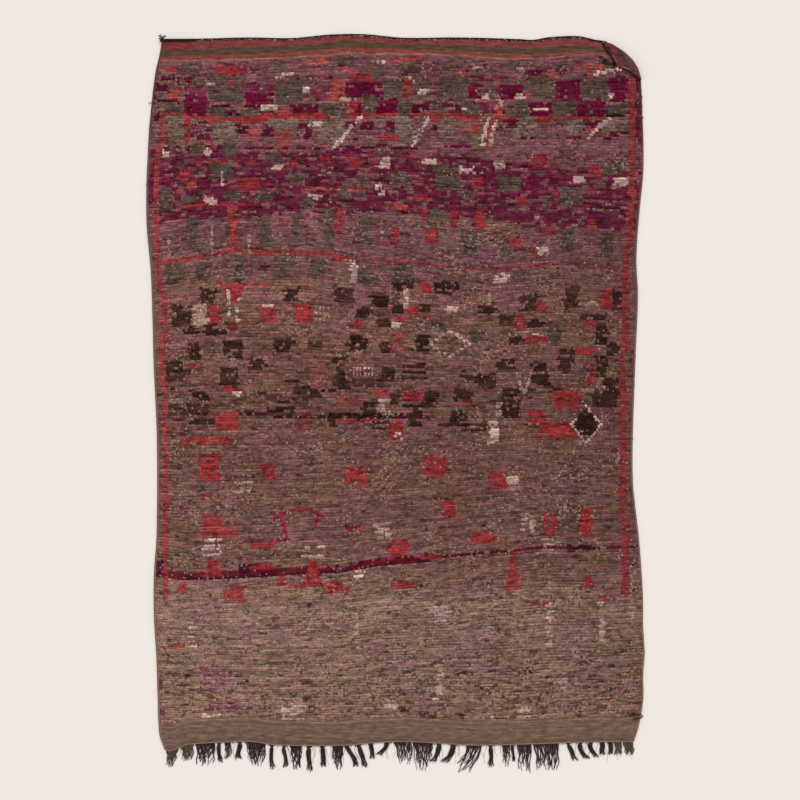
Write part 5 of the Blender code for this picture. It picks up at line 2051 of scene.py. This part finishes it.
corner_route = []
for x in np.linspace(*CORNER_SPAN):
    y = float(read_edge(TOP_EDGE, x)) - CORNER_INSET
    corner_route.append((x, y, float(cloth_depth(x, y)) + CORNER_ROOM))
corner_strands = ply(corner_route, 3, CORNER_PLY, CORNER_PITCH)
corner_cord = add_yarns("corner_cord", corner_strands, CORNER_RADIUS, dark_yarn, uneven=0.3)

fold_route = [
    (fold_start.x - reach, fold_start.y + FOLD_YARN_OUT, FOLD_YARN_FOOT)
    for reach in FOLD_YARN_STARTS
]
for share in np.linspace(0.0, FOLD_YARN_SHARE, 8):
    fold_route.append((*read_path(FOLD_LINE, share), FOLD_YARN_LEVEL + FOLD_YARN_CLIMB * share))
fold_yarn = add_yarns("fold_yarn", [fold_route], FOLD_YARN_RADIUS, dark_yarn, uneven=0.3)
for piece in (end_plait, corner_cord, fold_yarn):
    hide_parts("end_cord")
print("Corner cord of", len(corner_strands), "strands")

# %% Sew short stitches under the plait
STITCH_RADIUS, STITCH_ROOM, STITCH_START = 1.1 * MM, 0.7 * MM, TOP_EDGE[0][0] + 8 * MM
# Name, number, shortest and longest, where they end, and their yarn
STITCHES = (
    ("pale_stitches", 120, 3 * MM, 9 * MM, fold_start.x - 0.04, stitch_and_highlight_yarn),
    ("dark_stitches", 220, 4 * MM, 14 * MM, TOP_EDGE[-1][0] - 12 * MM, dark_yarn),
    ("corner_stitches", 60, 5 * MM, 14 * MM, across(194), dark_yarn),
)


def edge_stitches(number, shortest, longest, end):
    """Short slanting yarns on the woven end, close under its edge."""
    routes = []
    for _ in range(number):
        x = chance.uniform(STITCH_START, end)
        y = float(read_edge(TOP_EDGE, x)) - chance.uniform(0.5, 5.0) * MM
        reach = chance.uniform(shortest, longest)
        slope = chance.uniform(-0.5, 0.5)
        ends = [(x + reach * t, y + slope * reach * t) for t in (0.0, 0.5, 1.0)]
        routes.append([(a, b, float(cloth_depth(a, b)) + STITCH_ROOM) for a, b in ends])
    return routes


for name, number, shortest, longest, end, yarn in STITCHES:
    routes = edge_stitches(number, shortest, longest, end)
    piece = add_yarns(name, routes, STITCH_RADIUS, yarn, sides=5)
    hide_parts("end_cord")
    print(name, "has", number, "yarns")

# %% [markdown]
# ## The fringe
#
# The warps of the bottom end hang free. Some are bunched into compact cords,
# others have come apart into loose locks. Each bundle is written as where its
# root starts and ends, how long it is, how far its tip leans, how much it bows
# and into how many locks it falls. A bundle of one lock is wound tight.

# %% The bundles
FRINGE = (
    (-0.850, -0.806, 0.050, -0.004, 0.000, 4), (-0.798, -0.751, 0.048, 0.002, 0.003, 4),
    (-0.744, -0.671, 0.070, -0.003, 0.004, 5), (-0.662, -0.646, 0.071, 0.004, -0.003, 1),
    (-0.636, -0.612, 0.056, 0.000, 0.003, 2), (-0.592, -0.571, 0.063, -0.002, 0.002, 1),
    (-0.559, -0.482, 0.072, 0.005, 0.003, 6), (-0.467, -0.451, 0.088, 0.003, -0.003, 1),
    (-0.423, -0.407, 0.080, 0.006, 0.003, 1), (-0.392, -0.348, 0.074, 0.002, 0.002, 3),
    (-0.329, -0.308, 0.094, 0.002, -0.004, 1), (-0.282, -0.262, 0.076, 0.003, 0.003, 1),
    (-0.236, -0.194, 0.082, -0.004, 0.003, 3), (-0.191, -0.171, 0.076, 0.036, 0.006, 1),
    (-0.146, -0.126, 0.082, 0.022, 0.003, 1), (-0.100, -0.081, 0.058, 0.002, 0.002, 1),
    (-0.046, -0.026, 0.048, -0.026, 0.007, 1), (-0.010, 0.055, 0.070, 0.008, 0.008, 4),
    (0.062, 0.138, 0.088, 0.004, 0.003, 6), (0.150, 0.172, 0.068, -0.022, 0.005, 1),
    (0.206, 0.230, 0.066, -0.036, 0.004, 1), (0.262, 0.322, 0.084, -0.040, 0.006, 4),
    (0.344, 0.362, 0.078, 0.000, 0.003, 1), (0.394, 0.424, 0.074, 0.002, 0.003, 2),
    (0.430, 0.440, 0.060, 0.004, 0.000, 1), (0.450, 0.504, 0.090, 0.000, 0.004, 4),
    (0.510, 0.606, 0.082, 0.006, 0.003, 7), (0.628, 0.648, 0.064, 0.030, 0.004, 1),
    (0.678, 0.698, 0.060, 0.024, -0.009, 1), (0.716, 0.736, 0.056, 0.022, -0.008, 1),
    (0.752, 0.774, 0.048, 0.006, 0.003, 1), (0.786, 0.804, 0.048, 0.004, 0.003, 1),
    (0.812, 0.838, 0.046, 0.004, 0.002, 3), (0.843, 0.880, 0.042, 0.006, 0.002, 4),
)
print("Bundles:", len(FRINGE))

# %% Lay the yarns of a bundle
YARN_RADIUS, CORD_YARNS, YARN_STEPS = 1.8 * MM, 12, 14
LOOSE_PITCH, THIN_PITCH, THICK_PITCH = 2.4 * MM, 3.3 * MM, 1.5 * MM
ROOT_LAP, GATHERED_AT = 3.0 * MM, 0.25
# A tight cord's half width by bundle, how it narrows, and where its tip frays
CORD_HALF, CORD_NARROWING, FRAY_FROM, CORD_LIFT = 0.40, 0.2, 0.76, 1.9 * MM
# A loose yarn's drift, curl and lift
LOOSE_DRIFT, LOOSE_CURL, LOOSE_LIFT = 5.0 * MM, 4.6 * MM, 2.2 * MM
fringe_chance = random.Random(7)


def bundle_yarns(bundle, undyed):
    """Routes of every yarn in one bundle, from under the cloth to the tip."""
    start, end, length, lean, bow, locks = bundle
    width = end - start
    middle = 0.5 * (start + end)
    tight = locks == 1
    pitch = THICK_PITCH if undyed else LOOSE_PITCH if middle < 0.0 else THIN_PITCH
    yarns = CORD_YARNS if tight else round(width / pitch)
    phase = fringe_chance.uniform(0, math.tau)
    wound = fringe_chance.choice((-1, 1)) * fringe_chance.uniform(2.6, 4.2)
    sway = fringe_chance.uniform(-3.0, 3.0) * MM
    routes = []
    for number in range(yarns):
        own = number / yarns
        root = start + width * (number + 0.5) / yarns
        reach = length * fringe_chance.uniform(0.90, 1.06) if tight else length
        if not tight:
            reach *= fringe_chance.choice((0.62, 0.8, 0.9, 1.0, 1.1, 1.2))
        splay = fringe_chance.uniform(-1.0, 1.0)
        drift = fringe_chance.uniform(-1.0, 1.0)
        wave, curls = fringe_chance.uniform(0, math.tau), fringe_chance.uniform(5.0, 12.0)
        rise = fringe_chance.uniform(0.0, 1.0)
        route = []
        for step in range(YARN_STEPS + 1):
            t = step / YARN_STEPS
            gather = float(step_up(0.0, GATHERED_AT, t))
            if tight:
                turn = phase + math.tau * own + wound * t
                half = CORD_HALF * width * (1.0 - CORD_NARROWING * t)
                half += CORD_HALF * width * max(t - FRAY_FROM, 0) * 4 * abs(splay)
                off = (root - middle) * (1 - gather) + half * math.cos(turn) * gather
                off += sway * math.sin(math.tau * t)
                z = YARN_RADIUS + CORD_LIFT * (1.0 + math.sin(turn)) * gather * (1 - 0.6 * t)
            else:
                off = (root - middle) * (1.0 - 0.25 * t) + LOOSE_DRIFT * drift * t * t
                off += LOOSE_CURL * math.sin(wave + curls * t) * t
                z = YARN_RADIUS + LOOSE_LIFT * rise * (1.0 - t)
            x = middle + off + lean * t**1.4 + bow * math.sin(math.pi * t)
            edge = float(read_edge(BOTTOM_EDGE, x if t < 0.2 else root))
            route.append((x, edge + ROOT_LAP - (reach + ROOT_LAP) * t, z))
        routes.append(route)
    return routes


print("Yarns in a tight cord:", CORD_YARNS)


# %% Spin the fringe
def spin(name, bundles, finish):
    """One piece of fringe from a run of bundles."""
    undyed = finish is brown_yarn
    routes = [route for bundle in bundles for route in bundle_yarns(bundle, undyed)]
    radii = [YARN_RADIUS * fringe_chance.uniform(0.65, 1.25) for _ in routes]
    piece = add_yarns(name, routes, radii, finish, sides=5, taper=0.5)
    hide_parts("fringe")
    print(name, "has", len(routes), "yarns")
    return piece


# The outermost bundles are undyed, as brown as the woven end
warp_fringe = spin("warp_fringe", FRINGE[2:-2], fringe_yarn)
brown_fringe = spin("brown_fringe", FRINGE[:2] + FRINGE[-2:], brown_yarn)

# %% [markdown]
# ## Heading and stray ends
#
# Along the bottom edge two thin yarns are twined round the warps to hold the
# weft. Between the bundles stand short broken warps, and fine wisps of fibre
# lie about the tips.

# %% Twine the heading
HEADING_SPAN = (BOTTOM_EDGE[0][0] + 4 * MM, BOTTOM_EDGE[-1][0] - 4 * MM, 1200)
HEADING_LAP, HEADING_LEVEL = 1.2 * MM, 5.2 * MM
TWINE_PLY, TWINE_PITCH, TWINE_RADIUS = 1.0 * MM, 9.0 * MM, 1.2 * MM

heading_x = np.linspace(*HEADING_SPAN)
heading_y = read_edge(BOTTOM_EDGE, heading_x) + HEADING_LAP
heading_line = [(x, y, HEADING_LEVEL) for x, y in zip(heading_x, heading_y)]
twine_routes = ply(heading_line, 2, TWINE_PLY, TWINE_PITCH)
heading_twine = add_yarns(
    "heading_twine", twine_routes, TWINE_RADIUS, taupe_yarn, sides=5, taper=0.0
)
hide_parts("fringe")
print("Heading twined of", len(twine_routes), "yarns")

# %% Add broken warps and wisps
WISPS, SHORT_SHARE, WISP_MARGIN = 190, 0.6, 6 * MM
# Shortest and longest in mm, and the radius, of broken warps and of wisps
BROKEN_WARP, WISP = (4, 12, 1.0 * MM), (30, 82, 0.45 * MM)
WISP_LEAN, WISP_CURL, WISP_LAP, WISP_RISE = 0.35, 0.25, 1 * MM, 1.4 * MM

wisp_routes, wisp_radii = [], []
for _ in range(WISPS):
    x = fringe_chance.uniform(BOTTOM_EDGE[0][0] + WISP_MARGIN, BOTTOM_EDGE[-1][0] - WISP_MARGIN)
    shortest, longest, radius = BROKEN_WARP if fringe_chance.random() < SHORT_SHARE else WISP
    reach = fringe_chance.uniform(shortest, longest) * MM
    lean = fringe_chance.uniform(-WISP_LEAN, WISP_LEAN) * reach
    curl = fringe_chance.uniform(-WISP_CURL, WISP_CURL) * reach
    edge = float(read_edge(BOTTOM_EDGE, x))
    route = []
    for t in np.linspace(0, 1, 8):
        sideways = x + lean * t + curl * math.sin(math.pi * t)
        route.append((sideways, edge + WISP_LAP - reach * t, radius + WISP_RISE * (1 - t)))
    wisp_radii.append(radius)
    wisp_routes.append(route)
fringe_wisps = add_yarns("fringe_wisps", wisp_routes, wisp_radii, fringe_yarn, sides=4, taper=0.5)
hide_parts("fringe")
print("Broken warps and wisps:", len(wisp_routes))

# %% [markdown]
# ## Small yarn ends
#
# A tassel of dark ends stands at the top left corner, a cream tuft at the
# flap's tip, a slack loop of the binding low on the right side, two short
# stubs on the left side, and one stray yarn low on the field. They are small,
# but they say that hands made this.

# %% Tie the tassel
TASSEL_ROOT, TASSEL_RADIUS = (-0.8660, 1.3494, 0.0), 1.15 * MM
# Facing and spread in degrees, length, number of ends, room under them, rise
TASSEL_FANS = (
    (62.0, 14.0, 17 * MM, 5, 0.9 * MM, 3.0 * MM),
    (122.0, 16.0, 19 * MM, 5, 0.9 * MM, 3.0 * MM),
    (182.0, 16.0, 13 * MM, 4, 0.8 * MM, 2.4 * MM),
)
KNOB_OFFSET, KNOB_FAN = (4 * MM, -3 * MM), (135.0, 180.0, 5 * MM, 8, 1.2 * MM, 3.2 * MM)
end_chance = random.Random(3)


def loose_ends(centre, facing, spread, length, number, room, rise):
    """Short yarns that leave one place in a fan, and sink as they go."""
    routes = []
    for _ in range(number):
        turn = math.radians(facing + end_chance.uniform(-spread, spread))
        reach = length * end_chance.uniform(0.65, 1.1)
        bend = end_chance.uniform(-0.5, 0.5)
        route = []
        for t in np.linspace(0.0, 1.0, 8):
            way = turn + bend * t
            x = centre[0] + reach * t * math.cos(way)
            y = centre[1] + reach * t * math.sin(way)
            route.append((x, y, centre[2] + room + rise * (1 - t) ** 1.5))
        routes.append(route)
    return routes


tassel_routes = [route for fan in TASSEL_FANS for route in loose_ends(TASSEL_ROOT, *fan)]
knob_root = (TASSEL_ROOT[0] + KNOB_OFFSET[0], TASSEL_ROOT[1] + KNOB_OFFSET[1], 0.0)
tassel_routes += loose_ends(knob_root, *KNOB_FAN)
tassel = add_yarns("tassel_ends", tassel_routes, TASSEL_RADIUS, dark_yarn, sides=5, taper=0.5)
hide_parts("corner_tassel")
print("Ends of the tassel:", len(tassel_routes))

# %% Tie the cream tuft
TUFT_OFFSET, TUFT_ROOM, TUFT_RADIUS = (-0.5 * MM, -4.3 * MM), 2.0 * MM, 1.3 * MM
TUFT_FAN = (215.0, 85.0, 12 * MM, 18, 1.2 * MM, 3.6 * MM)
SIDE_TUFT_OFFSET, SIDE_TUFT_FAN = (9 * MM, -8 * MM), (300.0, 100.0, 8 * MM, 12, 1.2 * MM, 3.6 * MM)

tip, _ = flap_edge(FLAP_TIP)
tuft_y = tip.y + TUFT_OFFSET[1]
tuft_root = (tip.x + TUFT_OFFSET[0], tuft_y, float(cloth_depth(tip.x, tuft_y)) + TUFT_ROOM)
side_root = (tip.x + SIDE_TUFT_OFFSET[0], tip.y + SIDE_TUFT_OFFSET[1], tuft_root[2])
tuft_routes = loose_ends(tuft_root, *TUFT_FAN) + loose_ends(side_root, *SIDE_TUFT_FAN)
cream_tuft = add_yarns("cream_tuft", tuft_routes, TUFT_RADIUS, pale_yarn, sides=5, taper=0.5)
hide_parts("tip_tuft")
print("Ends of the cream tuft:", len(tuft_routes))

# %% Lay the slack loop
LOOP_ALONG, LOOP_LENGTH, LOOP_WIDTH, LOOP_RADIUS = -1.166, 0.030, 0.018, 1.6 * MM
LOOP_RISE, LOOP_OUT, LOOP_TURN, LOOP_PLACES = 5.5 * MM, 5.0 * MM, 0.55 * math.pi, 36
LOOP_PLY, LOOP_PITCH, LOOP_STRAND = 1.2 * MM, 8 * MM, 1.5 * MM
LOOP_DEPTH_INSET = 6.0 * MM

loop_edge = float(read_edge(RIGHT_EDGE, LOOP_ALONG))
loop_route = []
for turn in np.linspace(-LOOP_TURN, LOOP_TURN, LOOP_PLACES):
    x = loop_edge + LOOP_OUT - LOOP_LENGTH * (1.0 - math.cos(turn))
    y = LOOP_ALONG + 0.5 * LOOP_WIDTH * math.sin(turn)
    z = float(cloth_depth(x - LOOP_DEPTH_INSET, y)) + LOOP_RADIUS
    loop_route.append((x, y, z + LOOP_RISE * math.sin(abs(turn)) ** 0.5))
loop_strands = ply(loop_route, 2, LOOP_PLY, LOOP_PITCH)
slack_loop = add_yarns("slack_loop", loop_strands, LOOP_STRAND, dark_yarn, sides=6, taper=0.0)
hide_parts("edge_loop")
print("Places along the loop:", len(loop_route))

# %% Add the stubs and the stray yarn
# In columns and rows of the photograph
STUBS = ((150.5, 103.0), (148.0, 184.0))
STRAY = ((402, 677), (406, 672), (411, 669), (415, 669), (419, 671))
STUB_INSET, STUB_LEVEL, STRAY_ROOM, STUB_RADIUS = 4 * MM, 4.0 * MM, 0.8 * MM, 0.9 * MM
STUB_FAN = (185.0, 22.0, 12 * MM, 3, 0.8 * MM, 1.5 * MM)

stub_routes = []
for column, row in STUBS:
    spot = (across(column) + STUB_INSET, along(row), STUB_LEVEL)
    stub_routes += loose_ends(spot, *STUB_FAN)
stray = [(across(column), along(row)) for column, row in STRAY]
stub_routes.append([(x, y, float(cloth_depth(x, y)) + STRAY_ROOM) for x, y in stray])
side_stubs = add_yarns("side_stubs", stub_routes, STUB_RADIUS, dark_yarn, sides=5, taper=0.4)
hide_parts("rug")
print("Stubs and the stray yarn:", len(stub_routes))

# %% [markdown]
# ## The rug's size
#
# The rug lies on the floor, 1.84 m by 2.64 m when its corner is turned back,
# and the pile, the bindings, the fringe and the small ends go with it.

# %% [markdown]
# ## Count the triangles
#
# Last, the triangles of every piece that shows, the floor aside, are counted.

# %% Count the triangles
triangles = 0
for piece in bpy.context.scene.objects:
    if piece.type == "MESH" and piece is not floor and not piece.hide_render:
        triangles += sum(len(face.vertices) - 2 for face in piece.data.polygons)
print("Triangles in all:", triangles)
